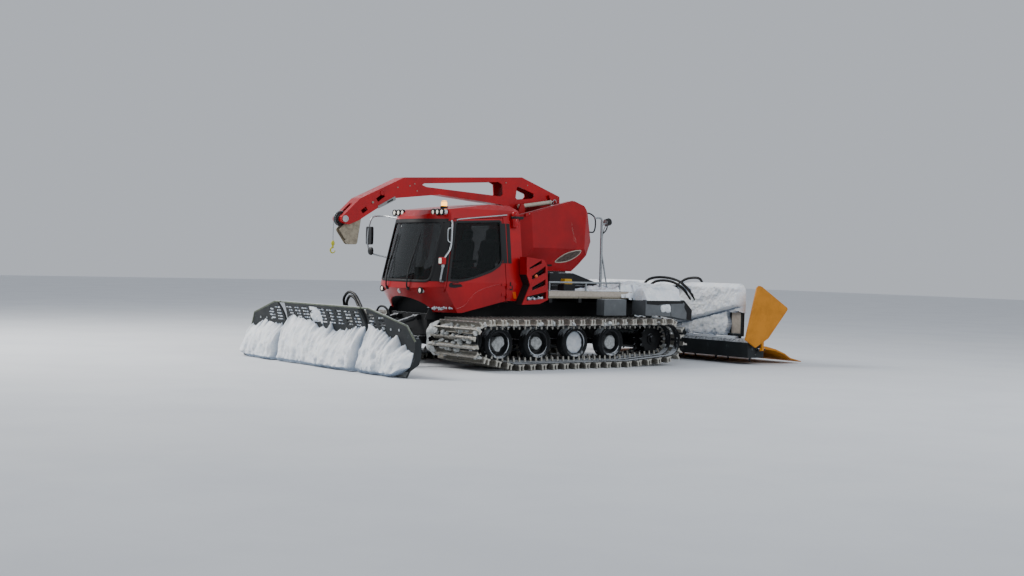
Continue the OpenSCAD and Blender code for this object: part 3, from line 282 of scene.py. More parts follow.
BLOCK = (np.array([(x, y, z) for x in (-1, 1) for y in (-1, 1) for z in (0, 1)], float),
         np.array([(0, 1, 3, 2), (4, 6, 7, 5), (0, 4, 5, 1), (2, 3, 7, 6), (0, 2, 6, 4), (1, 5, 7, 3)]))
HEX = np.arange(6) * np.pi / 3
BOLT = (np.array([(np.cos(a) * r, np.sin(a) * r, h) for h, r in ((-.3, 1), (.85, 1), (1, .86)) for a in HEX]),
    np.concatenate([[(k + 6 * i, (k + 1) % 6 + 6 * i, (k + 1) % 6 + 6 * i + 6, k + 6 * i + 6) for i in range(2)
    for k in range(6)], [(12, 13, 14, 15), (12, 15, 16, 17), (3, 2, 1, 0), (5, 4, 3, 0)]]))


def placed(shape, origin, ex, ey, ez):
    """Copies of one small shape of quads, each with its origin and its three axes, which carry its size."""
    verts, quads = shape
    origin, ex, ey, ez = (np.broadcast_to(np.asarray(a, float), (len(origin), 3)) for a in (origin, ex, ey, ez))
    points = sum(verts[None, :, k, None] * axis[:, None] for k, axis in enumerate((ex, ey, ez))) + origin[:, None]
    index = np.asarray(quads)[None] + (np.arange(len(origin)) * len(verts))[:, None, None]
    return points.reshape(-1, 3), index.reshape(-1, 4)


def repeated(shape, origin, axis, r, h):
    """Copies of a bolt-like shape of radius r and height h that stand along one axis."""
    axis = np.asarray(axis, float) / np.linalg.norm(axis)
    ex = square_to(axis)
    ex /= np.linalg.norm(ex)
    return placed(shape, np.asarray(origin, float), ex * r, np.cross(axis, ex) * r, axis * h)


def on_side(s, mesh):
    """The shape as it is for the machine's left (s is 1), or mirrored for its right (s is -1)."""
    return np.asarray(mesh[0], float) * (1, s, 1), mesh[1]


# Finishes

def linear(code):
    """sRGB hex to linear RGBA."""
    c = np.array([int(code[i:i + 2], 16) for i in (1, 3, 5)]) / 255
    c = np.where(c <= .04045, c / 12.92, ((c + .055) / 1.055) ** 2.4)
    return (*c.tolist(), 1.0)


def add(tree, kind, links=None, **settings):
    """Adds a node: settings are its own properties; links give each named socket a value or another node's output."""
    node = tree.nodes.new(kind)
    for key, value in settings.items():
        setattr(node, key, value)
    for key, value in (links or {}).items():
        if isinstance(value, bpy.types.NodeSocket):
            tree.links.new(value, node.inputs[key])
        else:
            node.inputs[key].default_value = value
    return node


def blank_material(name):
    """A material with an empty tree, and the place it is read at: Object coordinates in metres."""
    mat = bpy.data.materials.new(name)
    mat.use_nodes = True
    mat.node_tree.nodes.clear()
    return mat, mat.node_tree, add(mat.node_tree, "ShaderNodeTexCoord").outputs["Object"]


def finish(name, colour, second=None, patch=.12, rough=(.4, .6), metal=0.0, coat=0.0, grain=(.004, .1),
           frost=None, dirt=None, sheen=0.0, shine=.35):
    """A finish with patches of a second shade of size patch; grain is its size and relief. Dirt (colour, amount,
    size) lies in broad patches, frost (snow dust: amount, and how steep a face may be) on faces that look up."""
    mat, tree, place = blank_material(name)
    broad = add(tree, "ShaderNodeTexNoise", {"Vector": place, "Scale": 1 / patch, "Detail": 6.0,
                                             "Roughness": .62}).outputs[0]
    fine = add(tree, "ShaderNodeTexNoise", {"Vector": place, "Scale": 1 / grain[0], "Detail": 3.0}).outputs[0]
    share = add(tree, "ShaderNodeMapRange", {0: broad, 1: .35, 2: .7}, interpolation_type="SMOOTHSTEP").outputs[0]
    tint = add(tree, "ShaderNodeMix", {0: share, 6: linear(colour), 7: linear(second or colour)},
               data_type="RGBA").outputs[2]
    if dirt:
        dirt_colour, amount, size = dirt
        film = add(tree, "ShaderNodeTexNoise", {"Vector": place, "Scale": 1 / size, "Detail": 8.0,
                                                "Roughness": .7}).outputs[0]
        film = add(tree, "ShaderNodeMapRange", {0: film, 1: .72 - .4 * amount, 2: .85 - .4 * amount},
                   interpolation_type="SMOOTHSTEP").outputs[0]
        tint = add(tree, "ShaderNodeMix", {0: film, 6: tint, 7: linear(dirt_colour)}, data_type="RGBA").outputs[2]
    roughness = add(tree, "ShaderNodeMapRange", {0: broad, 1: .3, 2: .7, 3: rough[0], 4: rough[1]}).outputs[0]
    if frost:
        amount, low = frost
        up = add(tree, "ShaderNodeSeparateXYZ", {0: add(tree, "ShaderNodeNewGeometry").outputs["Normal"]}).outputs[2]
        speckle = add(tree, "ShaderNodeTexNoise", {"Vector": place, "Scale": 22.0, "Detail": 7.0,
                                                   "Roughness": .75}).outputs[0]
        lean = add(tree, "ShaderNodeMath", {0: up, 1: speckle}, operation="ADD").outputs[0]
        cover = add(tree, "ShaderNodeMapRange", {0: lean, 1: low + .55, 2: low + .85},
                    interpolation_type="SMOOTHSTEP").outputs[0]
        cover = add(tree, "ShaderNodeMath", {0: cover, 1: amount}, operation="MULTIPLY").outputs[0]
        tint = add(tree, "ShaderNodeMix", {0: cover, 6: tint, 7: linear("#e4e9ee")}, data_type="RGBA").outputs[2]
        roughness = add(tree, "ShaderNodeMix", {0: cover, 2: roughness, 3: .85}).outputs[0]
    bump = add(tree, "ShaderNodeBump", {"Height": fine, "Strength": grain[1], "Distance": grain[0] * .5}).outputs[0]
    shader = add(tree, "ShaderNodeBsdfPrincipled", {"Base Color": tint, "Roughness": roughness, "Metallic": metal,
                                                    "Normal": bump, "Coat Weight": coat, "Coat Roughness": .08,
                                                    "Specular IOR Level": .5 if metal else shine,
                                                    "Sheen Weight": sheen})
    add(tree, "ShaderNodeOutputMaterial", {"Surface": shader.outputs[0]})
    return mat


def tinted_glass(name, colour, alpha):
    """Window glass: a clear mirror-smooth sheet whose tint and strength are one thin film, so that the cab shows
    through."""
    mat, tree, place = blank_material(name)
    smear = add(tree, "ShaderNodeTexNoise", {"Vector": place, "Scale": 3.0, "Detail": 5.0,
                                             "Roughness": .6}).outputs[0]
    rough = add(tree, "ShaderNodeMapRange", {0: smear, 1: .4, 2: .8, 3: .02, 4: .16}).outputs[0]
    shader = add(tree, "ShaderNodeBsdfPrincipled", {"Base Color": linear(colour), "Roughness": rough, "IOR": 1.5,
                                                    "Alpha": alpha, "Specular IOR Level": .35})
    add(tree, "ShaderNodeOutputMaterial", {"Surface": shader.outputs[0]})
    return mat


def glow(mat, colour, strength):
    """Makes a finish shine in the colour."""
    inputs = mat.node_tree.nodes["Principled BSDF"].inputs
    inputs["Emission Color"].default_value = linear(colour)
    inputs["Emission Strength"].default_value = strength


# Sprayed two-pack enamel: deep signal red with a clear coat; a little road film dulls it in patches
red = finish("red_enamel", "#ae0a14", "#960811", .5, (.3, .42), coat=.22, shine=.25, grain=(.003, .02),
             frost=(.25, .75))
# Moulded glass-fibre cover with gel coat: the same red, flatter and darker in the shade
cover_red = finish("gel_coat_red", "#a10912", "#89070f", .6, (.35, .5), coat=.12, shine=.25, grain=(.004, .03),
                   frost=(.3, .75))
# Welded plate with black chassis paint, snow dust on its upper faces
black_steel = finish("chassis_paint", "#111214", "#1a1b1d", .2, (.5, .7), grain=(.003, .15),
                     frost=(.75, .45), dirt=("#5a5a58", .25, .25))
# Raw sand casting, dark and matt
engine_iron = finish("cast_iron", "#2b2d2f", "#35383a", .1, (.6, .8), grain=(.003, .3))
# Solid rubber tyres, dull black with packed snow powder
tyre_rubber = finish("tyre_rubber", "#1b1c1e", "#26282a", .08, (.75, .9), grain=(.004, .25),
                     frost=(.8, .3), dirt=("#b9bec3", .28, .09))
# Painted wheel discs, their hollows rimed with ice
rim_paint = finish("wheel_disc_paint", "#27282a", "#3a3c3e", .1, (.5, .7), grain=(.003, .2),
                   dirt=("#cdd3d8", .3, .12))
# Woven rubber belts with snow pressed into their faces
belt_rubber = finish("belt_rubber", "#202123", "#2c2d2f", .1, (.7, .85), grain=(.003, .3),
                     dirt=("#a9aeb2", .35, .08), frost=(.7, .4))
# Extruded aluminium shoes: grey-beige from dirt, bright where the snow scours the tips
shoe_metal = finish("scoured_aluminium", "#a5a198", "#87827a", .07, (.35, .55), metal=.65, grain=(.003, .15),
                    dirt=("#6d675a", .42, .11), frost=(.5, .6))
# Toughened glass with a green tint, slightly smeared
glass = tinted_glass("green_tinted_glass", "#0b1110", .55)
# Moulded plastic with a fine grain, nearly black
cab_plastic = finish("moulded_cab_plastic", "#131415", "#1c1d1f", .2, (.55, .7), grain=(.002, .25))
# Woven cloth with a soft sheen at grazing light
seat_cloth = finish("woven_seat_cloth", "#25272c", "#34373d", .02, (.85, .95), grain=(.003, .5), sheen=.3)
# Bright lamp glass over a reflector
lamp_body = finish("lamp_glass", "#c9cdd0", "#dde1e3", .02, (.08, .15), metal=.4, grain=(.004, .3), coat=.5)
# Black injection-moulded plastic, dusted on top
mirror_black = finish("black_plastic", "#191a1c", "#222426", .1, (.45, .6), grain=(.002, .2), frost=(.4, .6))
# Worn tread plate, grey-brown, with snow on its upper faces
deck_metal = finish("tread_plate_aluminium", "#8d8676", "#9c9584", .18, (.45, .65), metal=.5, grain=(.02, .3),
                    dirt=("#4d4a42", .4, .25), frost=(.85, .55))
# Hot-dip zinc with a faint pattern
galvanised = finish("galvanised_steel", "#8f9497", "#a9aeb0", .03, (.4, .55), metal=.75, grain=(.004, .1))
# Grey moulded panels, matt, with road film
grey_panel = finish("grey_moulded_panel", "#5c6063", "#6a6e71", .3, (.5, .65), grain=(.002, .2),
                    frost=(.7, .5), dirt=("#6f7376", .3, .25))
# Cast iron that the rope has polished
sheave_iron = finish("worn_cast_iron", "#515355", "#6c6e70", .03, (.35, .5), metal=.7, grain=(.003, .2))
# Cream paint on the boom's cylinders
pale_cylinder = finish("cream_cylinder_paint", "#b9b4a4", "#a8a393", .1, (.45, .6), grain=(.003, .1))
# Black paint on the tools' cylinders
black_cylinder = finish("black_cylinder_paint", "#1c1d1f", "#282a2c", .1, (.4, .6), grain=(.003, .1), frost=(.5, .55))
# Hard chrome, nearly a mirror
rod_chrome = finish("hard_chrome", "#c9cccf", "#bfc3c6", .05, (.12, .2), metal=1.0, grain=(.002, .02))
# Nearly black paint on the snow tools, dusted and dull
tool_steel = finish("blade_paint", "#14181a", "#1e2325", .25, (.45, .65), grain=(.004, .15),
                    frost=(.8, .5), dirt=("#5d6366", .3, .25))
# Yellow-brown plastic of comb and side wings
ochre = finish("ochre_plastic", "#c47c08", "#ad6c06", .3, (.45, .6), grain=(.003, .12),
               frost=(.15, .75), dirt=("#7d5a1f", .25, .25))

finishes = {
    black_steel: ["chassis_tub", "body_frame", "axles", "sprockets", "slewing_base"],
    engine_iron: ["engine_block"], tyre_rubber: ["wheel_tyres"], rim_paint: ["wheel_rims"],
    belt_rubber: ["belts_left", "belts_right"], shoe_metal: ["shoes_left", "shoes_right"],
    red: ["cab_frame", "cab_roof", "door_left", "door_right", "louvre_pods", "boom"],
    cover_red: ["winch_housing"],
    glass: ["windscreen", "rear_window", "door_glass_left", "door_glass_right"],
    cab_plastic: ["cab_console"], seat_cloth: ["cab_seats"], lamp_body: ["roof_lamps"],
    mirror_black: ["mirrors"], deck_metal: ["deck"], galvanised: ["deck_rails", "light_mast"],
    grey_panel: ["rear_side_boxes"], sheave_iron: ["rope_sheave"], pale_cylinder: ["boom_barrels"],
    black_cylinder: ["blade_barrels", "lift_barrels"], rod_chrome: ["boom_rods", "blade_rods", "lift_rods"],
    tool_steel: ["push_frame", "blade_yoke", "blade_middle", "blade_wing_left", "blade_wing_right", "lift_frame",
                 "tiller_housing", "tiller_rotor", "snow_screen"],
    ochre: ["finishing_comb", "side_wing_left", "side_wing_right"],
}
for material, names in finishes.items():
    for node in names:
        nodes[node].data.materials.clear()
        nodes[node].data.materials.append(material)

# Packed snow: white, rough and a little translucent, with painted blue-grey shade in its hollows and seams
snow = finish("packed_snow", "#f8fafc", "#e3e9ef", .15, (.75, .9), grain=(.03, .7))
tree = snow.node_tree
shader = tree.nodes["Principled BSDF"]
# Painted shade: an ambient occlusion node darkens the snow's colour to blue-grey where it is hemmed in
painted_shade = add(tree, "ShaderNodeAmbientOcclusion", {"Distance": .22}, samples=8).outputs["AO"]
painted_shade = add(tree, "ShaderNodeMapRange", {0: painted_shade, 1: .35, 2: .95}, interpolation_type="SMOOTHSTEP").outputs[0]
shade = add(tree, "ShaderNodeMix", {0: painted_shade, 6: linear("#93a1b2"),
                                    7: shader.inputs["Base Color"].links[0].from_socket},
            data_type="RGBA").outputs[2]
tree.links.new(shade, shader.inputs["Base Color"])
shader.inputs["Subsurface Weight"].default_value = .1
shader.inputs["Subsurface Radius"].default_value = (.05, .06, .08)
# Ice and dirty snow that wheels and shoes have pressed: greyer and glossier
ice = finish("dirty_ice", "#d2d5d5", "#a0a3a0", .05, (.35, .6), grain=(.012, .5), dirt=("#6f6f68", .25, .06))
# Rubber seals and hoses: soft black with a dull bloom
seal_rubber = finish("extruded_seal_rubber", "#131415", "#1d1e20", .1, (.55, .7), grain=(.002, .1))
hose_rubber = finish("hydraulic_hose_rubber", "#101112", "#191a1b", .05, (.4, .55), grain=(.006, .25),
                     frost=(.3, .85))
# Zinc-plated steel of bolts and hose ends
zinc_fitting = finish("zinc_plated_fitting", "#8b8a80", "#a3a196", .02, (.3, .45), metal=.8, grain=(.002, .1))
# Brushed aluminium tubes and trim
bright_trim = finish("satin_aluminium_trim", "#b9bdbf", "#a6aaac", .1, (.25, .4), metal=.85, grain=(.002, .05))
# Shoe ends that the snow scours bright
scoured_tip = finish("scoured_shoe_end", "#bdbab0", "#9d9a90", .03, (.3, .5), metal=.5, grain=(.003, .2),
                     dirt=("#8a867a", .25, .03))
# Wear edges of hardened steel, brown in the pits
steel_edge = finish("hardened_steel_edge", "#8b8983", "#a9a7a0", .03, (.3, .45), metal=.8, grain=(.003, .2),
                    dirt=("#5d584e", .3, .06))
# Olive paint on the blade's top flange: its lighter tone along the edge is a painted highlight, with pale worn
# patches
olive_edge = finish("olive_edge_highlight_and_wear", "#4b5345", "#6a705d", .08, (.45, .6), grain=(.003, .15), frost=(.6, .6),
    dirt=("#9a9c8e", .25, .05))
# Dull yellow enamel of the rope hook
hook_yellow = finish("hook_enamel", "#b9b52a", "#a29d20", .03, (.35, .5), grain=(.002, .1),
    dirt=("#5b5a25", .25, .03))
# Yellow polyamide block
block_yellow = finish("yellow_polyamide", "#d2a21c", "#bd9018", .04, (.5, .6), grain=(.002, .1))
# Unpainted plate of the rope guide
guide_beige = finish("rope_guide_plate", "#9b907c", "#7f7666", .05, (.5, .65), metal=.3, grain=(.003, .2))
# Grey primer on the knee's doublers
doubler_grey = finish("doubler_grey_paint", "#8a8b8a", "#787979", .06, (.45, .6), grain=(.003, .1))
# Cream paint on edges
cream_trim = finish("cream_edge_paint", "#b7ada0", "#a79c8e", .05, (.45, .6), grain=(.002, .05))
# Silvered glass
mirror_silver = finish("silvered_mirror", "#c9d0d4", "#bcc4c9", .2, (.03, .06), metal=1.0, grain=(.004, .01))
# Orange prismatic reflectors
reflector_orange = finish("orange_reflector", "#d9560e", "#c24a0a", .01, (.15, .3), grain=(.006, .6), coat=.6)
# Red ribbed lamp lens
tail_red = finish("red_lamp_lens", "#8d0a0c", "#a31013", .02, (.12, .25), grain=(.006, .5), coat=.6)
# Woven wire, brown with dust
vent_mesh = finish("woven_wire_mesh", "#6b5f58", "#544a45", .04, (.45, .6), metal=.5, grain=(.012, 1.0),
                   dirt=("#8a7f78", .3, .08))
# Lamp lens with a faint warm light
lens_white = finish("lit_lamp_lens", "#f2efe6", "#e3dfd2", .01, (.1, .2), grain=(.006, .3), coat=.5)
glow(lens_white, "#fff3da", .35)
# Lit amber dome
beacon_glow = finish("lit_amber_dome", "#f59a22", "#f7b24a", .02, (.15, .3), grain=(.01, .2), coat=.4)
glow(beacon_glow, "#ffb648", 4.0)
# Dark display glass
dial_glass = finish("display_glass", "#10181c", "#16242a", .05, (.06, .12), grain=(.004, .02), coat=.8)

# Camera at the photograph's place
CAMERA_AT = np.array([16.64, 20.59, 1.81])
SENSOR, FOCAL_PIXELS, PICTURE_PIXELS = 36, 1409, 1024
yaw, pitch, roll = np.radians([37.87, 1.02, 1.5])
ahead = np.array([-np.sin(yaw) * np.cos(pitch), -np.cos(yaw) * np.cos(pitch), -np.sin(pitch)])
level = np.array([-np.cos(yaw), np.sin(yaw), 0.0])
upward = np.cross(level, ahead)
right = np.cos(roll) * level + np.sin(roll) * upward
upward = -np.sin(roll) * level + np.cos(roll) * upward
camera = bpy.data.objects.new("camera", bpy.data.cameras.new("camera"))
camera.data.lens = SENSOR * FOCAL_PIXELS / PICTURE_PIXELS
camera.data.sensor_width = SENSOR
camera.data.clip_end = 400
bpy.context.scene.collection.objects.link(camera)
camera.matrix_world = Matrix([(right[i], upward[i], -ahead[i], CAMERA_AT[i]) for i in range(3)] + [(0, 0, 0, 1)])
bpy.context.scene.camera = camera


# Hoses and the winch rope: each is a real length of hose on one smooth curve, from fitting to fitting

def hose(name, points, diameter, body, material=None):
    """Round tube of even diameter along the smooth curve through the points."""
    path = smooth_path(points, 36)
    obj = piece(name, sweep_mesh(path, diameter / 2, 12), material or hose_rubber, body)
    return obj


def fitting(name, point, toward, r, body):
    """Crimped hose end: a turned sleeve with a collar, from the point a little way up the hose."""
    along = np.asarray(toward, float) - np.asarray(point, float)
    rows = [(.001, 0), (r + .011, 0), (r + .011, .018), (r + .005, .02), (r + .005, .03), (r + .008, .034),
            (r + .008, .075), (r + .004, .08), (r + .001, .082)]
    return piece(name, turned_mesh(rows, point, along, 16), zinc_fitting, body)


BLADE_HOSES = [[(4.475, .268, .49), (4.475, .268, .61), (4.44, .275, .78), (4.42, .285, .93), (4.44, .37, 1.02),
    (4.49, .43, 1.15), (4.5, .59, 1.26), (4.5, .79, 1.226), (4.51, .94, 1.115), (4.59, 1.17, 1.01),
    (4.525, 1.195, .86), (4.46, 1.13, .71), (4.45, 1.08, .6), (4.45, 1.08, .49)], [(4.445, .335, .49),
    (4.445, .335, .62), (4.42, .34, .78), (4.4, .345, .9), (4.41, .43, .96), (4.47, .49, 1.08), (4.485, .61, 1.195),
    (4.49, .77, 1.165), (4.5, .89, 1.06), (4.55, 1.08, .95), (4.5, 1.11, .83), (4.44, 1.05, .69), (4.45, 1.01, .6),
    (4.45, 1.01, .49)]]
FRAME_HOSE = [(3.93, .43, .52), (3.93, .43, .64), (3.905, .49, .85), (3.9, .56, .99), (3.9, .68, 1.035),
    (3.88, .8, .99), (3.85, .845, .85), (3.775, .79, .7), (3.69, .64, .685), (3.615, .49, .69), (3.6, .43, .62),
    (3.6, .43, .518)]
REAR_HOSES = [[(-2.94, -.1, .64), (-2.94, -.1, .72), (-2.9, -.095, .83), (-2.83, -.07, 1.02), (-2.765, -.03, 1.22),
    (-2.705, 0, 1.383), (-2.735, 0, 1.486), (-2.83, .06, 1.575), (-2.96, .2, 1.604), (-3.05, .4, 1.587),
    (-3.1, .59, 1.53), (-3.135, .73, 1.44), (-3.19, .88, 1.27), (-3.28, .95, 1.1), (-3.378, .95, 1.08)],
    [(-2.95, 0, .64), (-2.95, 0, .74), (-2.905, .01, .85), (-2.83, .03, 1.04), (-2.785, .06, 1.22),
    (-2.765, .08, 1.36), (-2.8, .09, 1.44), (-2.88, .15, 1.515), (-2.985, .28, 1.54), (-3.065, .43, 1.515),
    (-3.115, .57, 1.455), (-3.16, .69, 1.35), (-3.22, .8, 1.19), (-3.29, .855, 1.0), (-3.378, .855, .98)],
    [(-2.955, .195, .64), (-2.955, .195, .76), (-2.985, .235, .95), (-3.08, .29, 1.17), (-3.16, .35, 1.3),
    (-3.24, .41, 1.45), (-3.33, .52, 1.57), (-3.38, .7, 1.61), (-3.415, .84, 1.595), (-3.435, .9, 1.5),
    (-3.45, .93, 1.25), (-3.462, .945, .88), (-3.465, .95, .64), (-3.465, .95, .48)]]
for group, body, r, lists in (("blade", "blade", .023, BLADE_HOSES), ("frame", "push_frame", .018, [FRAME_HOSE]),
                              ("rear", "tiller", .026, REAR_HOSES)):
    for k, points in enumerate(lists):
        ends = [fitting(f"{group}_fitting_{k}{e}", points[i], points[j], r, body)
                for e, i, j in (("a", 0, 1), ("b", -1, -2))]
        hose(f"{group}_hose_{k}", points, 2 * r, body)

# Winch rope over the sheave, with its safety hook. The hook: a swivel block and a round bar bent to a hook
HOOK_AT = np.array([4.472, 0.0, 2.06])
bend = np.radians(np.linspace(95, -175, 22))
hook_line = np.concatenate([[(0, 0, -.02), (0, 0, -.06)],
                            stacked(.045 * np.cos(bend), 0 * bend, -.115 + .045 * np.sin(bend))])
hook_bar = piece("rope_hook", sweep_mesh(HOOK_AT + hook_line,
    np.concatenate([[.016, .016], np.linspace(.016, .008, 22)]), 12), hook_yellow, "boom")
hook_block = piece("hook_swivel", turned_mesh([(.002, -.03), (.024, -.028), (.03, -.015), (.03, .02), (.02, .035),
    (.012, .05), (.006, .052)], HOOK_AT, (0, 0, 1), 20), hook_yellow, "boom")
hose("winch_rope", [(4.463, 0, 2.478), (4.4665, 0, 2.4), (4.4695, 0, 2.3), (4.4715, 0, 2.2), (4.472, 0, 2.025)], .012,
    "boom", material=galvanised)


# Blade: its hollow face is an arc in the side view
BLADE = dict(lip=4.715, sag=.15, low=.02, high=1.03, wing_end=2.684)
half_chord = (BLADE["high"] - BLADE["low"]) / 2
FACE_R = (half_chord**2 + BLADE["sag"]**2) / (2 * BLADE["sag"])
FACE_MID = BLADE["low"] + half_chord


def face_x(z):
    """x of the blade's face at height z: circle of radius FACE_R centred ahead of the blade."""
    return BLADE["lip"] - BLADE["sag"] + FACE_R - np.sqrt(FACE_R**2 - (np.asarray(z) - FACE_MID)**2)


def snow_on_blade(name, y0, y1, tops, body, seed, out_end=None):
    """Cake of snow on the blade's face. Its upper edge follows the heights in tops (rows of y, z) with ragged bites;
    its front runs from the plate at that edge out to a bulge ahead of the lip, in upright flutes; both ends are
    round."""
    u, v = net((0, 1, 150), (0, 1, 46))
    y = y0 + (y1 - y0) * u
    flat = 0 * y
    ragged = .045 * lumps(stacked(y, flat, flat), .11, seed) + .03 * lumps(stacked(y, flat, flat), .035, seed + 2)
    edge = np.interp(y, *np.transpose(tops)) + ragged
    low = .012 + flat
    if out_end:
        low = low + .16 * unit((np.abs(y) - out_end + .36) / .34)**2
    z = low + (edge - low) * v
    p = stacked(face_x(z), y, z)
    flute = (.5 * lumps(stacked(y, flat, z * .22), .17, seed + 4)
             + .28 * lumps(stacked(y, flat, z * .4), .06, seed + 5))
    line = 4.7 + .15 * (1 - v)**.75 + .085 * flute
    shoulder = np.sqrt(unit(np.minimum(y - y0, y1 - y) / .06))
    if out_end:
        shoulder = shoulder * np.sqrt(1 - np.clip((np.abs(y) - out_end + .34) / .36, 0, .97)**2)
    foot = np.clip(v / .07, .35, 1)**.5
    thick = ((line - face_x(z)) * (1 - v**5) * shoulder * foot
             + .016 * rough_field(p, .09, seed + 3) * (1 - v**6) + .006)
    front = p + stacked(np.maximum(thick, .004), flat, flat)
    return piece(name, shell_mesh(front, p - np.array([.004, 0, 0])), snow, body)


snow_on_blade("snow_blade", -1.275, 1.275, [(-1.31, .76), (-1.18, .8), (-.95, .82), (-.72, .79), (-.45, .72),
    (-.2, .66), (.05, .62), (.17, .63), (.215, .8), (.26, .64), (.4, .6), (.7, .64), (.95, .66), (1.15, .71),
    (1.31, .74)], "blade", 2)
snow_on_blade("snow_wing_left", 1.385, 2.665, [(1.36, .76), (1.45, .77), (1.6, .68), (1.95, .63), (2.15, .6),
    (2.4, .46), (2.6, .38), (2.68, .34)], "wing_left", 4, BLADE["wing_end"])
snow_on_blade("snow_wing_right", -2.665, -1.385, [(-2.68, .52), (-2.55, .58), (-2.3, .66), (-2.1, .68), (-1.9, .64),
              (-1.6, .66), (-1.36, .62)], "wing_right", 5, BLADE["wing_end"])

# Snow pressed into the grille's slots: each clod is a small rounded block, more of them towards the blade's far half
BLOB_U, BLOB_V = np.meshgrid(np.arange(8) * np.pi / 4, np.linspace(.12, np.pi - .12, 5), indexing="ij")
BLOB = (stacked(np.cos(BLOB_U) * np.sin(BLOB_V), np.sin(BLOB_U) * np.sin(BLOB_V), np.cos(BLOB_V)).reshape(-1, 3),
        [tuple(f) for f in grid_faces(8, 5, wrap_n=True)] + [tuple(range(0, 40, 5)), tuple(range(4, 40, 5))])


def clods(name, centre, size, body, material, wobble=.25, seed=0):
    """Many small clods: one ball of 8 by 5 points, stretched to each size, pushed about by random amounts."""
    centre, size = np.asarray(centre, float), np.asarray(size, float)
    r = np.random.default_rng(seed)
    verts, faces = BLOB
    bumps = 1 + wobble * (r.random((len(centre), len(verts), 1)) - .5) * 2
    points = centre[:, None] + verts[None] * size[:, None] * bumps
    index = [tuple(np.asarray(f) + k * len(verts)) for k in range(len(centre)) for f in faces]
    return piece(name, (points.reshape(-1, 3), index), material, body)


SLOT_STEP = .052


def slot_snow(name, tops, y_list, body, seed, share):
    """Clods at the slots of a grille: columns start at y_list, rows step down from tops by SLOT_STEP."""
    r = np.random.default_rng(seed)
    at = np.array([(y + w, top - SLOT_STEP * row - .012) for y, top in zip(y_list, tops) for row in range(5)
                   if top - SLOT_STEP * row > .7 for w in (.02, .05, .085, .12, .15)])
    at = at[r.random(len(at)) < share(at[:, 0])]
    y, z = at[:, 0] + .01 * (r.random(len(at)) - .5), at[:, 1]
    size = stacked(.02 + .012 * r.random(len(at)), .016 + .014 * r.random(len(at)), .011 + .006 * r.random(len(at)))
    clods(name, stacked(face_x(z) - .008, y, z), size, body, snow, .3, seed)


slot_snow("snow_slots_mid", [.96] * 9, [-1.19 + .275 * c for c in range(9)], "blade", 3, lambda y: np.interp(y,
    [-1.3, -.9, -.6, -.42, -.38, -.1, .0, .3, 1.3], [.1, .55, .5, .35, 1., 1., .25, .3, .5]))
slot_snow("snow_slots_right", [.9, .94], [-1.44 - .445, -1.44 - .17], "wing_right", 5, lambda y: .75 + 0 * y)
slot_snow("snow_slots_left", [.94, .9], [1.44, 1.715], "wing_left", 6, lambda y: .12 + 0 * y)
patch_y, patch_z = net((-.46, -.06, 60), (.68, .985, 50))
patch = stacked(face_x(patch_z), patch_y, patch_z)
hold = .03 * rough_field(patch, .09, 11) + .02 * (1 - ((patch_y + .25) / .17)**4) * (1 - ((patch_z - .84) / .14)**4)
piece("snow_grille_patch", cap_mesh(patch, (1, 0, 0), hold), snow, "blade")

# Flange along the blade's upper edges, lighter as a painted highlight and worn in patches
for name, line, body in (("middle", [(y, 1.028) for y in np.linspace(-1.305, 1.305, 3)], "blade"),
                         ("left", [(1.345, 1.028), (1.55, 1.028), (2.5, .798), (2.675, .562)], "wing_left"),
                         ("right", [(-1.345, 1.028), (-1.55, 1.028), (-2.5, .798), (-2.675, .562)], "wing_right")):
    edge = [(float(face_x(min(z, 1.03))) - .01, y, z) for y, z in line]
    piece(f"edge_flange_{name}", sweep_mesh(edge, .015, 8), olive_edge, body)
# Bolts of the wings' wear plates and the cutting edge's steel strip
for tag, s in SIDES:
    at = np.array([(face_x(.72), s * y, .72) for y in (1.84, 2.035, 2.27)])
    piece(f"wear_bolts_{tag}", repeated(BOLT, at, (1, 0, 0), .022, .012), bright_trim, f"wing_{tag}")
for name, y0, y1, body in (("middle", -1.23, 1.23, "blade"), ("left", 1.43, 2.67, "wing_left"),
        ("right", -2.67, -1.43, "wing_right")):
    y, z = net((y0, y1, 30), (.0215, .1, 5))
    front = stacked(face_x(z) + .006, y, z)
    piece(f"cutting_edge_{name}", shell_mesh(front, front - np.array([.008, 0, 0])), steel_edge, body)

# Track: belts run round idler, four road wheels and sprocket; places on the loop follow from their circles
WHEEL_Z = .4246
WHEEL_X, WHEEL_PITCH = 2.07, .852
TYRE_R, RIM_R = .305, .215
IDLER = (2.67, .49, .25)
IDLER_RIM_R = .165
SPROCKET = (-1.47, .465, .275)
TRACK_Y = 1.44
WHEELS = [IDLER, (WHEEL_X, WHEEL_Z, TYRE_R), (WHEEL_X - 3 * WHEEL_PITCH, WHEEL_Z, TYRE_R), SPROCKET]


def loop_table(offset):
    """The loop at an offset outside the wheels as a table: way along it, x, z and angle of its outward normal."""
    c = np.array(WHEELS)
    nxt = np.roll(c, -1, 0)
    d = nxt[:, :2] - c[:, :2]
    leave = np.arctan2(d[:, 1], d[:, 0]) + np.arccos((c[:, 2] - nxt[:, 2]) / np.linalg.norm(d, axis=1))
    span = (np.roll(leave, 1) - leave) % (2 * np.pi)
    start = leave[-1] - np.concatenate([[0], np.cumsum(span)[:-1]])
    angle = (start[:, None] - span[:, None] * np.linspace(0, 1, 30)).reshape(-1)
    wheel = np.repeat(c, 30, 0)
    x, z = wheel[:, 0] + (wheel[:, 2] + offset) * np.cos(angle), wheel[:, 1] + (wheel[:, 2] + offset) * np.sin(angle)
    x, z, angle = np.append(x, x[0]), np.append(z, z[0]), np.append(angle, angle[0] - 2 * np.pi)
    way = np.concatenate([[0], np.cumsum(np.hypot(np.diff(x), np.diff(z)))])
    return way, x, z, angle


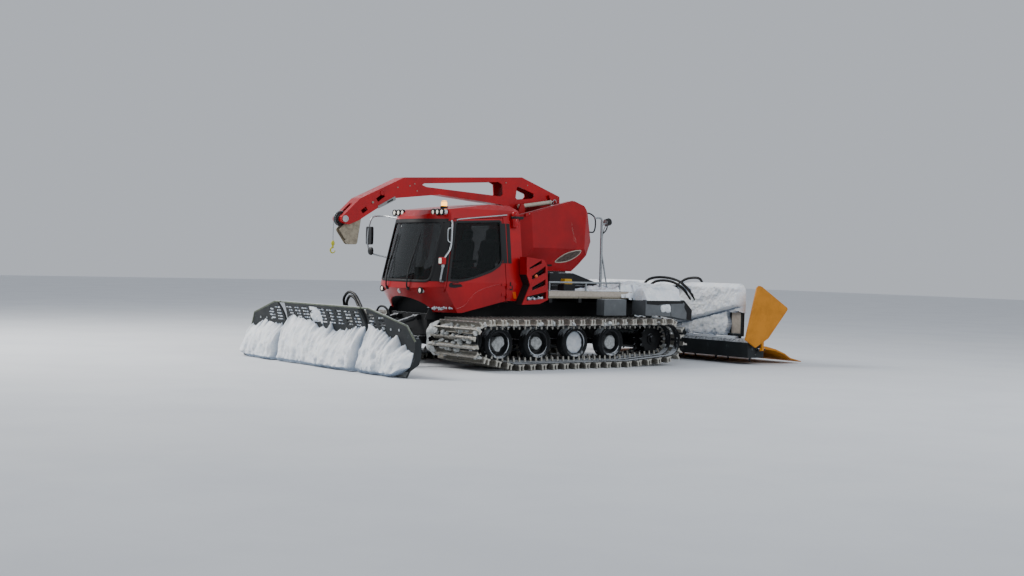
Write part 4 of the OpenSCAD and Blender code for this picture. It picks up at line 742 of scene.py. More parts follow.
def on_loop(s, offset):
    """Origin, running direction and outward direction at the ways s along the loop."""
    way, x, z, angle = loop_table(offset)
    s = np.asarray(s) % way[-1]
    a = np.interp(s, way, angle)
    zero = 0 * a
    return (stacked(np.interp(s, way, x), zero, np.interp(s, way, z)),
            stacked(np.sin(a), zero, -np.cos(a)), stacked(np.cos(a), zero, np.sin(a)))


RISE = .0146
SHOE_N = 82
pitch = loop_table(RISE)[0][-1] / SHOE_N
at, run, out = on_loop(np.arange(SHOE_N) * pitch, RISE)
half = np.where(np.arange(SHOE_N) % 2 == 0, .66, .59)
# Shoe section (along the belt, outwards): a foot with rolled edges and a web with a thick head
SHOE = [(-.038, 0), (.038, 0), (.038, .009), (.02, .014), (.011, .026), (.0085, .05), (.0085, .082), (.0115, .09),
    (.0115, .1), (.008, .1035), (-.008, .1035), (-.0115, .1), (-.0115, .09), (-.0085, .082), (-.0085, .05),
    (-.011, .026), (-.02, .014), (-.038, .009)]
SHOE_SHAPE = quad_prism(SHOE, [(0, 1, 2, 17)] + [(19 - k, k, k + 1, 18 - k) for k in range(2, 9)], -1, 1)
# Hooked end (along, outwards): a scoured lug that leans forward over the web
LUG = [(-.034, .0), (.034, .0), (.032, .018), (.014, .034), (.013, .066), (.02, .085), (.013, .102), (-.004, .104),
    (-.012, .094), (-.013, .034)]
LUG_SHAPE = quad_prism(LUG, [(0, 1, 2, 3), (0, 3, 4, 9), (9, 4, 5, 8), (8, 5, 6, 7)], 0, 1)
for tag, s in SIDES:
    mid = at + SIDEWAYS * TRACK_Y * s
    shoes = piece(f"track_shoes_{tag}", placed(SHOE_SHAPE, mid, run, SIDEWAYS * half[:, None], out), shoe_metal,
        smooth=False)
    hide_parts(f"shoes_{tag}")
    for end in (-1, 1):
        root = mid + SIDEWAYS * end * (half - .028)[:, None]
        piece(f"shoe_ends_{tag}_{'out' if end == s else 'in'}", placed(LUG_SHAPE, root, run * 1.02,
            SIDEWAYS * end * .0285, out * 1.003), scoured_tip, smooth=False)
    # Steel teeth let into each shoe's head, and the bolts that hold it to the belts
    teeth = np.linspace(-.86, .86, 10)
    spot = (mid[:, None] + SIDEWAYS * (half[:, None] * teeth)[..., None] + out[:, None] * .079).reshape(-1, 3)
    edge_run, edge_out = np.repeat(run, 10, 0), np.repeat(out, 10, 0)
    piece(f"shoe_teeth_{tag}", placed(BLOCK, spot, edge_run * .0128, SIDEWAYS * .036, edge_out * .0255), steel_edge,
        smooth=False)
    belts = np.array([0, -.264, .264, -.508, .508])
    spot = (mid[:, None] + SIDEWAYS * belts[None, :, None] + out[:, None] * .009).reshape(-1, 3)
    forward = np.repeat(run, 5, 0)
    both_bolts = np.concatenate([spot + forward * .026, spot - forward * .026])
    ex, ez = np.tile(forward, (2, 1)), np.tile(np.repeat(out, 5, 0), (2, 1))
    piece(f"shoe_bolts_{tag}", placed(BOLT, both_bolts, ex * .009, SIDEWAYS * .009, ez * .009), zinc_fitting,
        smooth=False)
    # Guide horns: tapered pegs on both sides of the tyres, that stand inwards from the shoes
    horn_v = BLOCK[0] * np.where(BLOCK[0][:, 2:] > 0, (.45, .7, 1), (1, 1, 1))
    spot = np.concatenate([mid + SIDEWAYS * .163, mid - SIDEWAYS * .163]) - np.tile(out, (2, 1)) * -.002
    piece(f"guide_horns_{tag}", placed((horn_v, BLOCK[1]), spot, np.tile(run, (2, 1)) * .022, SIDEWAYS * .011,
        -np.tile(out, (2, 1)) * .088), scoured_tip, smooth=False)
    # Ice and snow pressed between the shoes, most of it round the front and on the upper run
    r = np.random.default_rng(20 if s > 0 else 21)
    way = r.random(900) * loop_table(RISE)[0][-1]
    c, t, o = on_loop(way, RISE)
    keep = (c[:, 2] > .25) & (r.random(900) < np.where(c[:, 0] > 2.6, .9, .62))
    c, t, o = c[keep], t[keep], o[keep]
    width = (r.random(len(c)) * 2 - 1) * .6
    lift = .012 + .03 * r.random(len(c))
    clods(f"track_ice_{tag}", c + SIDEWAYS * (TRACK_Y * s + width)[:, None] + o * lift[:, None],
          .018 + .034 * r.random((len(c), 3)) * (1, 1.6, .8), "root", ice, .35, 22)
    # Ice mass on the front, from under the cab down over the shoes' inner ends
    y, v = net((.74, 1.55, 46), (0, 1, 34))
    a = np.radians(62 - 118 * v)
    radius = IDLER[2] + RISE + .085
    base = stacked(IDLER[0] + radius * np.cos(a), s * y, IDLER[1] + radius * np.sin(a))
    thick = .045 * rough_field(base, .16, 31 + s) + .022 - .14 * unit((y - .86) / .3) - .05 * np.abs(v - .4)
    piece(f"front_ice_{tag}", cap_mesh(base, stacked(np.cos(a), 0 * a, np.sin(a)), thick, .02), ice)
    # Wheels: raised rings on the tyres, hubs full of ice, and thin arcs of ice on the rims' edges
    for k, (x, z, tyre, rim) in enumerate([(WHEEL_X - WHEEL_PITCH * i, WHEEL_Z, TYRE_R, RIM_R)
            for i in range(4)] + [(*IDLER, IDLER_RIM_R)]):
        rows = [(tyre - .062, .098), (tyre - .058, .1045), (tyre - .048, .1055), (tyre - .044, .1),
            (tyre - .05, .085), (tyre - .06, .085)]
        piece(f"tyre_ring_{tag}_{k}", ring_mesh(rows, (x, TRACK_Y * s, z), (0, s, 0), 48), tyre_rubber)
        reach = [.128, .118, .196, .125, .1][k]
        turn = np.arange(56) * 2 * np.pi / 56
        wave = 1 + (.1 if k == 2 else .24) * lumps(stacked(np.cos(turn) * 1.2, np.sin(turn) * 1.2, 0 * turn + k), .9,
            40 + k + 5 * s)
        share = np.linspace(.02, 1, 9)[:, None]
        rad = reach * share * np.minimum(wave, rim * .93 / reach)
        bulge = .052 + .026 * (1 - share**2) + 0 * turn
        verts = stacked(x + rad * np.cos(turn), 0 * rad + s * (TRACK_Y + bulge), z + rad * np.sin(turn))
        verts[..., 1] += s * .009 * rough_field(verts, .06, 50 + k)
        back = verts[::-1].copy()
        back[..., 1] = s * 1.4
        grid = np.concatenate([verts, back])
        closed = [tuple(f) for f in grid_faces(18, 56, wrap_m=True)] + [tuple(range(56)),
            tuple(17 * 56 + np.arange(56))]
        piece(f"hub_ice_{tag}_{k}", (grid.reshape(-1, 3), closed), ice if k != 2 else snow)
        for j, (a0, a1) in enumerate([((-70, 25), (150, 235)), ((-165, 40),), ((100, 200),), ((200, 262),),
                ((30, 120),)][k]):
            a = np.radians(np.linspace(a0, a1, 30))
            line = stacked(x + (rim - .006) * np.cos(a), 0 * a + s * 1.5265, z + (rim - .006) * np.sin(a))
            piece(f"rim_ice_{tag}_{k}{j}", sweep_mesh(line, .001 + .0075 * np.sin(np.linspace(.05, 3.09, 30))**.6, 8),
                snow)

# Cab surfaces, from the sizes in the part's source
LEAN, CHIN = math.radians(14.6), math.radians(32)
FRONT_X, FRONT_R, LIP_Z = 3.2, 1.75, 1.33


def screen_x(y, z, out=0.0):
    """x of the windscreen's form: a cylinder of radius FRONT_R that leans back by LEAN."""
    return FRONT_X - FRONT_R / math.cos(LEAN) + (np.sqrt((FRONT_R + out)**2 - y**2) - (z - LIP_Z)
        * math.sin(LEAN)) / math.cos(LEAN)


def chin_x(y, z, out=0.0):
    """x of the chin's form: a cylinder of radius FRONT_R that leans forward by CHIN."""
    return FRONT_X - FRONT_R / math.cos(CHIN) + (np.sqrt((FRONT_R + out)**2 - y**2) + (z - LIP_Z)
        * math.sin(CHIN)) / math.cos(CHIN)


def wall_y(z):
    """y of the left side wall: upright to the waist, then leaning in."""
    return np.interp(z, [0, 1.45, 2.6, 2.73, 2.82], [1.0, 1.0, .85, .795, .68])


def on_screen(y, z, out):
    """Points out from the windscreen's form."""
    return stacked(screen_x(y, z, out), y, z)


def on_wall(x, z, out):
    """Points out from the left side wall."""
    return stacked(x, wall_y(z) + out, z)


SCREEN = rounded([(-.76, 1.46), (.76, 1.46), (.76, 2.49), (-.76, 2.49)], .12, 8)
WINDOW = rounded([(1.59, 1.88), (1.66, 1.76), (1.85, 1.655), (2.1, 1.575), (2.33, 1.51), (2.5, 1.48), (2.766, 1.48),
    (2.564, 2.488), (1.59, 2.54)], .035, 5)
piece("windscreen_seal", ribbon(even(SCREEN, .03), on_screen, -.022, .02, .012), seal_rubber)
y, z = np.meshgrid(np.linspace(-.82, .82, 40), np.array([2.478, 2.49, 2.52, 2.538]), indexing="ij")
piece("roof_lip_band", shell_mesh(on_screen(y, z, .009), on_screen(y, z, -.004)), seal_rubber)
# Black cladding of the front pillars: round the corner from the screen's edge to the door
z = np.linspace(1.465, 2.5, 20)
door_edge = 2.835 - (z - 1.36) * .2 + .008
corner = screen_x(wall_y(z), z)
flat_x = door_edge[:, None] + (corner - door_edge)[:, None] * np.linspace(0, .97, 5)
round_y = wall_y(z)[:, None] + (.765 - wall_y(z))[:, None] * np.linspace(.02, 1, 7)


def pillar(out):
    """Grid on the left front pillar, out from its surface: first the wall, then the screen's edge."""
    side_part = on_wall(flat_x, z[:, None] + 0 * flat_x, out)
    front_part = on_screen(round_y, z[:, None] + 0 * round_y, out)
    return np.concatenate([side_part, front_part], 1)


pillar_mesh = shell_mesh(pillar(.006), pillar(-.003))
# The doors' black front edge, and the strip behind their glass
front_x = door_edge - .022
glass_x = np.interp(z, [1.48, 2.488], [2.766, 2.564]) + .004
strip_x = glass_x[:, None] + (front_x - glass_x)[:, None] * np.linspace(0, 1, 4)
edge_mesh = shell_mesh(on_wall(strip_x, z[:, None] + 0 * strip_x, .005),
    on_wall(strip_x, z[:, None] + 0 * strip_x, -.003))
seal_mesh = ribbon(even(WINDOW, .03), on_wall, -.02, .018, .01)
grip = np.linspace(1.8, 2.52, 25)
grip_at = np.array([(1.6, float(wall_y(h)) + .003, h) for h in grip])


def rear_strip(x0, x1):
    """Black band up the wall behind the door's glass."""
    x, z = net((x0, x1, 5), (1.8, 2.5, 20))
    return shell_mesh(on_wall(x, z, .005), on_wall(x, z, -.003))


for tag, s in SIDES:
    piece(f"pillar_cladding_{tag}", on_side(s, pillar_mesh), cab_plastic)
    piece(f"door_front_edge_{tag}", on_side(s, edge_mesh), cab_plastic, f"door_{tag}")
    piece(f"door_rear_strip_{tag}", on_side(s, rear_strip(1.488, 1.572)), seal_rubber, f"door_{tag}")
    piece(f"pillar_strip_{tag}", on_side(s, rear_strip(1.395, 1.47)), seal_rubber)
    piece(f"door_glass_seal_{tag}", on_side(s, seal_mesh), seal_rubber, f"door_{tag}")
    ribs = grip_at * (1, s, 1)
    piece(f"grip_strip_{tag}", placed(BLOCK, ribs, (.026, 0, 0), (0, .006, 0), (0, 0, .016)), seal_rubber,
        f"door_{tag}", smooth=False)
    rail = [(2.546, s * .868, 2.519), (2.4, s * .862, 2.548), (1.444, s * .849, 2.652)]
    piece(f"drip_rail_{tag}", tube(rail, 24, .012, 10), bright_trim)
    crease = [(2.6, s * 1.0, 1.0), (2.442, s * 1.0, 1.055), (2.29, s * 1.0, 1.2), (2.167, s * 1.0, 1.296),
        (1.95, s * 1.0, 1.372), (1.6, s * 1.0, 1.446)]
    piece(f"door_crease_{tag}", tube(crease, 40, .006, 8), red, f"door_{tag}")
    pull = rounded([(2.775, 1.407), (2.734, 1.449), (2.563, 1.458), (2.474, 1.384), (2.645, 1.356), (2.752, 1.364)],
        .02)
    piece(f"door_pull_{tag}", prism(pull, s * .996, s * 1.003), cab_plastic, f"door_{tag}")
    handle = [(2.69, s * 1.001, 1.425), (2.685, s * 1.02, 1.425), (2.6, s * 1.024, 1.428), (2.55, s * 1.02, 1.43),
        (2.545, s * 1.001, 1.43)]
    piece(f"door_handle_{tag}", tube(handle, 20, .008, 10), red, f"door_{tag}")
    piece(f"door_latch_{tag}", plate([(1.395, 1.33), (1.455, 1.33), (1.455, 1.47), (1.43, 1.47), (1.43, 1.41),
        (1.395, 1.41)], .008, s * .998, s * 1.008), cab_plastic, bevel=.002)
    piece(f"corner_reflector_{tag}", plate([(1.3, 1.18), (1.37, 1.18), (1.4, 1.3), (1.33, 1.3)], .012, s * .998,
        s * 1.01), reflector_orange, bevel=.003)
    piece(f"pod_marker_{tag}", turned_mesh([(.001, -.004), (.032, -.004), (.032, .01), (.024, .018), (.001, .022)],
        (1.03, s * 1.2, 1.585), (0, s, 0), 20), reflector_orange)

# Roof lamps: dark bezels and lit lenses on the lamps of the part
for tag, s in SIDES:
    bezel = [(.049, -.03), (.056, -.028), (.058, .004), (.052, .012), (.041, .01), (.039, .002), (.039, -.03)]
    lens = [(.001, .009), (.018, .008), (.034, .005), (.0405, -.001), (.0405, -.01), (.001, -.01)]
    for k, (x, y, z) in enumerate([(2.775, .48, 2.655), (2.775, .61, 2.655), (2.775, .74, 2.655), (3.09, .6, 1.3)]):
        piece(f"lamp_bezel_{tag}_{k}", ring_mesh(bezel, (x, s * y, z), (1, 0, 0), 28), cab_plastic)
        piece(f"lamp_lens_{tag}_{k}", turned_mesh(lens, (x, s * y, z), (1, 0, 0), 28), lens_white)
piece("beacon_dome", turned_mesh([(.001, .164), (.02, .163), (.036, .158), (.048, .146), (.0525, .125), (.0535, .062),
    (.001, .062)], (2.44, .33, 2.71), (0, 0, 1), 36), beacon_glow)
piece("beacon_base", turned_mesh([(.001, .064), (.058, .064), (.066, .056), (.067, .0), (.067, -.03), (.001, -.03)],
    (2.44, .33, 2.71), (0, 0, 1), 36), cab_plastic)
disc_x = float(chin_x(.06, 1.27))
piece("chin_disc", turned_mesh([(.001, .007), (.03, .0065), (.04, .004), (.043, -.004), (.001, -.004)],
    (disc_x, .06, 1.27), (math.cos(CHIN), 0, -math.sin(CHIN)), 32), bright_trim)

# Wipers: arm from a hub under the glass, and a blade that follows the curved glass
for k, (hub_y, blade_y, tilt) in enumerate([(.34, .27, .1), (-.3, -.42, .06)]):
    z = np.linspace(1.52, 2.28, 24)
    y = blade_y + tilt * (z - 1.52)
    line = on_screen(y, z, .014)
    piece(f"wiper_blade_{k}", sweep_mesh(line, .01, 8), seal_rubber)
    middle = len(line) // 2 - 1
    arm = [(float(chin_x(hub_y, 1.325)) + .012, hub_y, 1.325), (float(screen_x(hub_y, 1.4)) + .045, hub_y, 1.4),
        (float(screen_x((hub_y + y[middle]) / 2, 1.62)) + .055, (hub_y + y[middle]) / 2, 1.62),
        tuple(line[middle] + (.016, 0, 0))]
    piece(f"wiper_arm_{k}", tube(arm, 26, np.linspace(.015, .009, 26), 10), seal_rubber)
    piece(f"wiper_hub_{k}", turned_mesh([(.001, -.02), (.03, -.02), (.032, .0), (.026, .022), (.001, .026)],
        (float(chin_x(hub_y, 1.325)), hub_y, 1.325), (1, 0, .3), 20), cab_plastic)

# Arch under the nose: dark liner
a, x_share = np.meshgrid(np.radians(np.linspace(2, 178, 40)), np.linspace(0, 1, 10), indexing="ij")


def arch_skin(r):
    """Half ellipse of the arch under the nose, r inside it, drawn back from the chin."""
    y, z = (.62 - r) * np.cos(a), .93 + (.258 - r) * np.sin(a)
    x = 2.745 + (np.maximum(chin_x(y, z) - .016, 2.8) - 2.745) * x_share
    return stacked(x, y, z)


piece("arch_lining", shell_mesh(arch_skin(.003), arch_skin(.01)), seal_rubber)
arch_turn = np.radians(np.linspace(0, 180, 40))
back = np.concatenate([stacked(.612 * np.cos(arch_turn), .93 + .25 * np.sin(arch_turn)), [(-.612, .8), (.612, .8)]])
piece("arch_back", prism(back, 2.7705, 2.776, "yz"), seal_rubber, smooth=False)
for tag, s in SIDES:
    piece(f"arch_side_{tag}", prism([(2.772, .8), (3.0, .8), (2.93, .93), (2.9, .99), (2.772, .99)], s * .609,
        s * .617), seal_rubber, smooth=False)

# Mirrors, their tubes and the marker lamp, in place of the plain ones
tubes = [[(2.632, -.828, 2.56), (2.76, -1.18, 2.6), (2.96, -1.23, 2.52), (2.99, -1.23, 1.98), (2.765, -.928, 1.84)],
    [(2.655, .838, 2.48), (2.65, .885, 2.495), (2.676, .925, 2.355), (2.728, .965, 2.04), (2.865, 1.0, 1.868),
    (2.93, 1.035, 1.7), (2.955, 1.02, 1.52), (2.93, .99, 1.465), (2.845, .955, 1.46)], [(2.667, .921, 2.385),
    (2.72, .93, 2.378), (2.762, .932, 2.345), (2.764, .935, 2.175), (2.735, .95, 2.135), (2.712, .954, 2.129)]]
mirror_tubes = piece("mirror_tubes", joined([tube(tubes[0], 60, .0155, 10), tube(tubes[1], 70, .0165, 10),
    tube(tubes[2], 40, .01, 10)]), bright_trim)
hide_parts("mirrors")
head = rounded([(-.095, -.165), (.095, -.165), (.1, .0), (.095, .165), (-.095, .165), (-.1, .0)], .03)
piece("mirror_shell", prism(head + (-1.23, 2.24), 2.955, 3.004, "yz"), mirror_black, bevel=.01)
piece("mirror_face", prism(head * (.88, .92) + (-1.23, 2.24), 2.9495, 2.957, "yz"), mirror_silver)
piece("round_mirror", turned_mesh([(.001, .052), (.045, .048), (.07, .03), (.077, .005), (.076, -.001),
    (.001, -.001)], (2.968, -1.18, 1.96), (1, 0, 0), 32), mirror_black)
piece("round_mirror_face", turned_mesh([(.001, -.006), (.04, -.004), (.07, .0), (.07, .004), (.001, .004)],
    (2.968, -1.18, 1.96), (1, 0, 0), 32), mirror_silver)
box_form = rounded([(-.05, -.062), (.05, -.062), (.05, .062), (-.05, .062)], .018)
piece("marker_box", prism(box_form + (1.035, 1.815), 2.895, 2.985, "yz"), red, bevel=.008)
piece("marker_lens", prism(box_form * (.74, .74) + (1.035, 1.815), 2.98, 2.992, "yz"), lens_white, bevel=.004)
piece("marker_socket", turned_mesh([(.001, -.03), (.026, -.03), (.03, .0), (.026, .03), (.001, .03)],
    (2.925, 1.035, 1.735), (0, 0, 1), 20), bright_trim)

# Seats: crowned cushions with sewn channels on a bellows foot, in place of the plain solids


CELL, PRESSURE, FRAMES, SWELL_CAP = .012, 4, 20, .013


def swell(obj):
    """Fills a cushion as cloth under pressure: even cells, no gravity, no point moved by more than SWELL_CAP."""
    remesh = obj.modifiers.new("cells", "REMESH")
    remesh.mode, remesh.voxel_size = "VOXEL", CELL
    even_mesh = bpy.data.meshes.new_from_object(obj.evaluated_get(bpy.context.evaluated_depsgraph_get()))
    obj.modifiers.clear()
    obj.data = even_mesh
    start = np.empty(3 * len(even_mesh.vertices))
    even_mesh.vertices.foreach_get("co", start)
    cloth = obj.modifiers.new("filled_cloth", "CLOTH")
    cloth.settings.use_pressure = True
    cloth.settings.uniform_pressure_force = PRESSURE
    cloth.settings.effector_weights.gravity = 0
    cloth.point_cache.frame_start, cloth.point_cache.frame_end = 1, FRAMES
    for number in range(1, FRAMES + 1):
        bpy.context.scene.frame_set(number)
    filled = obj.evaluated_get(bpy.context.evaluated_depsgraph_get()).to_mesh()
    end = np.empty_like(start)
    filled.vertices.foreach_get("co", end)
    move = (end - start).reshape(-1, 3)
    size = np.linalg.norm(move, axis=1, keepdims=True)
    obj.modifiers.clear()
    even_mesh.vertices.foreach_set("co",
        (start.reshape(-1, 3) + move * np.minimum(1, SWELL_CAP / np.maximum(size, 1e-9))).ravel())
    even_mesh.polygons.foreach_set("use_smooth", np.full(len(even_mesh.polygons), True))
    finer = obj.modifiers.new("finer", "SUBSURF")
    finer.levels = finer.render_levels = 1
    bpy.context.scene.frame_set(1)


AROUND, UP = 72, 27


def cushion(name, width, depth, height, origin, ex, ez, material, channels=(), pinch=.06, seed=0):
    """Rounded block: a superellipse outline whose height follows another one across it, so that it crowns in the
    middle and pulls in at the edges; each channel is a narrow dip across it. It is laid out along ex (depth) and
    ez (height)."""
    a, b = np.meshgrid(np.linspace(0, 2 * np.pi, AROUND + 1)[:-1], np.linspace(-np.pi / 2 + .03, np.pi / 2 - .03, UP),
        indexing="ij")
    power = lambda t, e: np.sign(t) * np.abs(t)**e
    x = power(np.cos(a), .32) * power(np.cos(b), .42)
    y = power(np.sin(a), .32) * power(np.cos(b), .42)
    z = power(np.sin(b), .62) * (1 - pinch * (x**2 + y**2))
    dip = sum(np.exp(-((x * depth / 2 - c) / .012)**2) for c in channels) if channels else 0 * x
    z = z * (1 - .22 * dip * (z > 0)) + .03 * lumps(stacked(x, y, z * .3), .8, seed)
    ex, ez = np.asarray(ex, float) / np.linalg.norm(ex), np.asarray(ez, float) / np.linalg.norm(ez)
    points = (np.asarray(origin, float) + x[..., None] * ex * depth / 2 + y[..., None] * SIDEWAYS * width / 2
              + z[..., None] * ez * height / 2)
    faces = [tuple(f) for f in grid_faces(AROUND, UP, wrap_n=True)] + [tuple(range(end, AROUND * UP, UP))
        for end in (0, UP - 1)]
    obj = piece(name, (points.reshape(-1, 3), faces), material)
    swell(obj)
    skin = np.empty(3 * len(obj.data.vertices))
    obj.data.vertices.foreach_get("co", skin)
    skin = skin.reshape(-1, 3) - np.asarray(origin, float)
    skin = skin[np.abs(skin @ ez) < .2 * height]
    angle, reach = np.arctan2(skin[:, 1], skin @ ex), np.hypot(skin[:, 1], skin @ ex)
    turn = np.linspace(-np.pi, np.pi, 72, endpoint=False)
    away = np.abs((angle[None] - turn[:, None] + np.pi) % (2 * np.pi) - np.pi)
    rim = np.where(away < .09, reach[None], 0).max(1) + .001
    piping = np.asarray(origin, float) + (rim * np.cos(turn))[:, None] * ex + (rim * np.sin(turn))[:, None] * SIDEWAYS
    piece(f"{name}_piping", sweep_mesh(piping, .0045, 6, closed=True), seal_rubber)
    return obj


for k, y in enumerate((.33, -.38)):
    base = cushion(f"seat_base_{k}", .5, .54, .14, (1.76, y, 1.615), (1, 0, .06), (-.06, 0, 1), seat_cloth,
        (-.12, .12), seed=k)
    if k == 0:
        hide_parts("cab_seats")
    lean = np.array([-.16, 0, 1.0])
    cushion(f"seat_back_{k}", .48, .62, .15, (1.465, y, 1.92), lean, (1, 0, .16), seat_cloth, (-.16, 0, .16),
        seed=3 + k)
    cushion(f"seat_head_{k}", .26, .19, .09, (1.395, y, 2.305), lean, (1, 0, .16), seat_cloth, (), seed=6 + k)
    for e in (-1, 1):
        piece(f"seat_post_{k}{'a' if e < 0 else 'b'}",
            sweep_mesh([(1.41, y + .06 * e, 2.15), (1.395, y + .06 * e, 2.28)], .007, 8), bright_trim)
        arm = rounded([(1.5, 1.8), (1.86, 1.785), (1.88, 1.81), (1.86, 1.84), (1.5, 1.85)], .02)
        piece(f"arm_rest_{k}{'a' if e < 0 else 'b'}", prism(arm, y + .285 * e - .03, y + .285 * e + .03), cab_plastic,
            bevel=.012)
    folds = [(.001, .0)] + [(.17 - .012 * (j % 2), .02 + .03 * j) for j in range(11)] + [(.001, .33)]
    piece(f"seat_foot_{k}", turned_mesh(folds, (1.74, y, 1.2055), (0, 0, 1), 28), cab_plastic)
# Driving place: wheel on its column, joystick, display, and the dashboard's hood
wheel = np.linspace(0, 2 * np.pi, 48, endpoint=False)
axis_v = np.array([-.45, 0, .893])
rim_line = np.array([2.42, .33, 1.86]) + .185 * (np.cos(wheel)[:, None] * SIDEWAYS + np.sin(wheel)[:, None] * axis_v)
piece("steering_wheel", joined([sweep_mesh(rim_line, .014, 10, closed=True),
    sweep_mesh([rim_line[0], (2.43, .33, 1.85), rim_line[24]], .01, 8),
    sweep_mesh([(2.43, .33, 1.85), rim_line[36]], .01, 8)]), cab_plastic)
piece("steering_column", tube([(2.425, .33, 1.855), (2.6, .33, 1.6), (2.76, .33, 1.4)], 16,
    np.linspace(.026, .04, 16), 12), cab_plastic)
piece("joystick", joined([tube([(1.84, .615, 1.83), (1.85, .615, 1.9), (1.855, .612, 1.95)], 10,
    np.linspace(.01, .012, 10), 10), turned_mesh([(.001, -.03), (.018, -.028), (.024, .0), (.026, .03), (.018, .05),
    (.001, .055)], (1.856, .611, 1.965), (.1, 0, 1), 18)]), cab_plastic)
display = rounded([(-.12, -.08), (.12, -.08), (.12, .08), (-.12, .08)], .015)
piece("display_case", prism(display + (.02, 1.62), 2.7, 2.74, "yz"), cab_plastic, bevel=.006)
piece("display_face", prism(display * (.88, .84) + (.02, 1.62), 2.696, 2.702, "yz"), dial_glass)
piece("display_arm", sweep_mesh([(2.73, .02, 1.56), (2.8, .02, 1.43)], .016, 10), cab_plastic)
hood = rounded([(2.72, 1.395), (2.8, 1.47), (2.93, 1.44), (2.97, 1.395), (2.93, 1.36), (2.74, 1.36)], .03)
piece("dashboard_hood", prism(hood, -.6, .6), cab_plastic, bevel=.01)
for tag, s in SIDES:
    piece(f"roof_lining_{tag}", tube([(2.5, s * .77, 2.5), (1.9, s * .77, 2.56), (1.3, s * .77, 2.58)], 16, .03, 10),
        cab_plastic)

# Air intake at the roof's rear corner: a pipe with a rubber clamp and a round cap
INTAKE_AT = (1.3, .895, 2.44)
rows = [(.001, 0), (.06, 0), (.066, .04), (.066, .155), (.06, .165), (.001, .166)]
piece("intake_pipe", turned_mesh(rows, INTAKE_AT, (0, 0, 1), 32), red)
piece("intake_clamp", turned_mesh([(.001, .15), (.07, .15), (.074, .16), (.074, .182), (.069, .192), (.001, .192)],
    INTAKE_AT, (0, 0, 1), 32), seal_rubber)
piece("intake_cap", turned_mesh([(.001, .188), (.058, .19), (.062, .215), (.056, .25), (.04, .275), (.018, .286),
    (.001, .288)], INTAKE_AT, (0, 0, 1), 32), red)
piece("intake_bracket", plate([(1.12, 2.585), (1.25, 2.585), (1.25, 2.635), (1.12, 2.635)], .01, .8, .92),
    seal_rubber, bevel=.004)

# Louvre pods: a black sheet behind the openings as painted shade of their depth, with a fin in each
POD = [(.93, 1.095), (1.33, 1.08), (1.16, 1.43), (1.24, 1.61), (1.25, 1.92), (.85, 1.88), (.775, 1.77), (.74, 1.17)]
SLOTS = [(1.18, .91, 1.7, 1.81, .06), (1.12, .815, 1.52, 1.65, .12), (1.11, .81, 1.33, 1.43, .105),
    (1.23, .79, 1.15, 1.19, .12)]
centre = np.mean(POD, 0)
inner_pod = centre + (np.array(POD) - centre) * .93
for tag, s in SIDES:
    piece(f"pod_front_{tag}", prism([(1.333, 1.08), (1.163, 1.43), (1.243, 1.61), (1.249, 1.609), (1.169, 1.43),
        (1.34, 1.08)], s * 1.0, s * 1.185), seal_rubber, smooth=False)
    # Painted shade: a dark sheet stands for the shade deep in the pod's openings
    piece(f"pod_back_{tag}", prism(inner_pod, s * 1.012, s * 1.024), seal_rubber)
    fins = [prism([(x0 - .02, z0 + h * f), (x0 - .02, z0 + h * f + .008), (x1 + .02, z1 + h * (f + .2) + .008),
        (x1 + .02, z1 + h * (f + .2))], s * 1.03, s * 1.168) for x0, x1, z0, z1, h in SLOTS[1:] for f in (.12, .48)]
    piece(f"pod_fins_{tag}", joined(fins), cab_plastic, smooth=False)
    r = np.random.default_rng(60 + s)
    n = 34
    at_slot = stacked(.84 + .34 * r.random(n), s * (1.1 + .07 * r.random(n)), 1.175 + .03 * r.random(n))
    clods(f"pod_snow_{tag}", at_slot, .012 + .022 * r.random((n, 3)), "root", snow, .3, 61)

# Winch housing: strips with bolts, wire mesh in the vent and its cream rim, rear handles, foot slot
def housing_y(z):
    """y of the housing's left side in the part: leaning in below the crease, nearly upright above."""
    return np.interp(z, [1.68, 2.1, 3.1], [.4, .59, .55])


def on_housing(x, z, out):
    """Points out from the housing's left side."""
    return stacked(x, housing_y(z) + out, z)


VENT = [(.024, 1.85), (-.064, 1.935), (-.18, 2.005), (-.291, 2.045), (-.42, 2.07), (-.536, 2.075), (-.52, 2.02),
    (-.459, 1.96), (-.36, 1.9), (-.252, 1.862), (-.1, 1.84)]
vent_line = even(rounded(VENT, .03), .012)
u = np.linspace(0, 1, 9)[None, :, None]
vent_mid = np.mean(vent_line, 0)
vent_grid = vent_mid + (vent_line - vent_mid)[:, None] * u
vent_skin = [on_housing(vent_grid[..., 0], vent_grid[..., 1], h) for h in (.003, -.004)]
vent_rim = ribbon(vent_line, on_housing, -.008, .01, .01)
mesh_lines = []
for slope in (1, -1):
    for c in np.arange(-.9, .9, .022):
        along_line = np.linspace(-.6, .1, 141)
        line = stacked(along_line, vent_mid[1] + slope * .8 * (along_line - vent_mid[0]) + c)
        a, b = vent_line, np.roll(vent_line, -1, 0)
        # A point is inside where a ray from it crosses the outline's edges an odd number of times
        at_x, at_z = line[:, 0, None], line[:, 1, None]
        spans = (a[:, 1] > at_z) != (b[:, 1] > at_z)
        cross = spans & (at_x < (b - a)[:, 0] * (at_z - a[:, 1]) / (b - a + 1e-12)[:, 1] + a[:, 0])
        inside = line[cross.sum(1) % 2 == 1]
        if len(inside) > 3:
            mesh_lines.append(sweep_mesh(on_housing(inside[[0, -1], 0], inside[[0, -1], 1], .0045), .0024, 5))
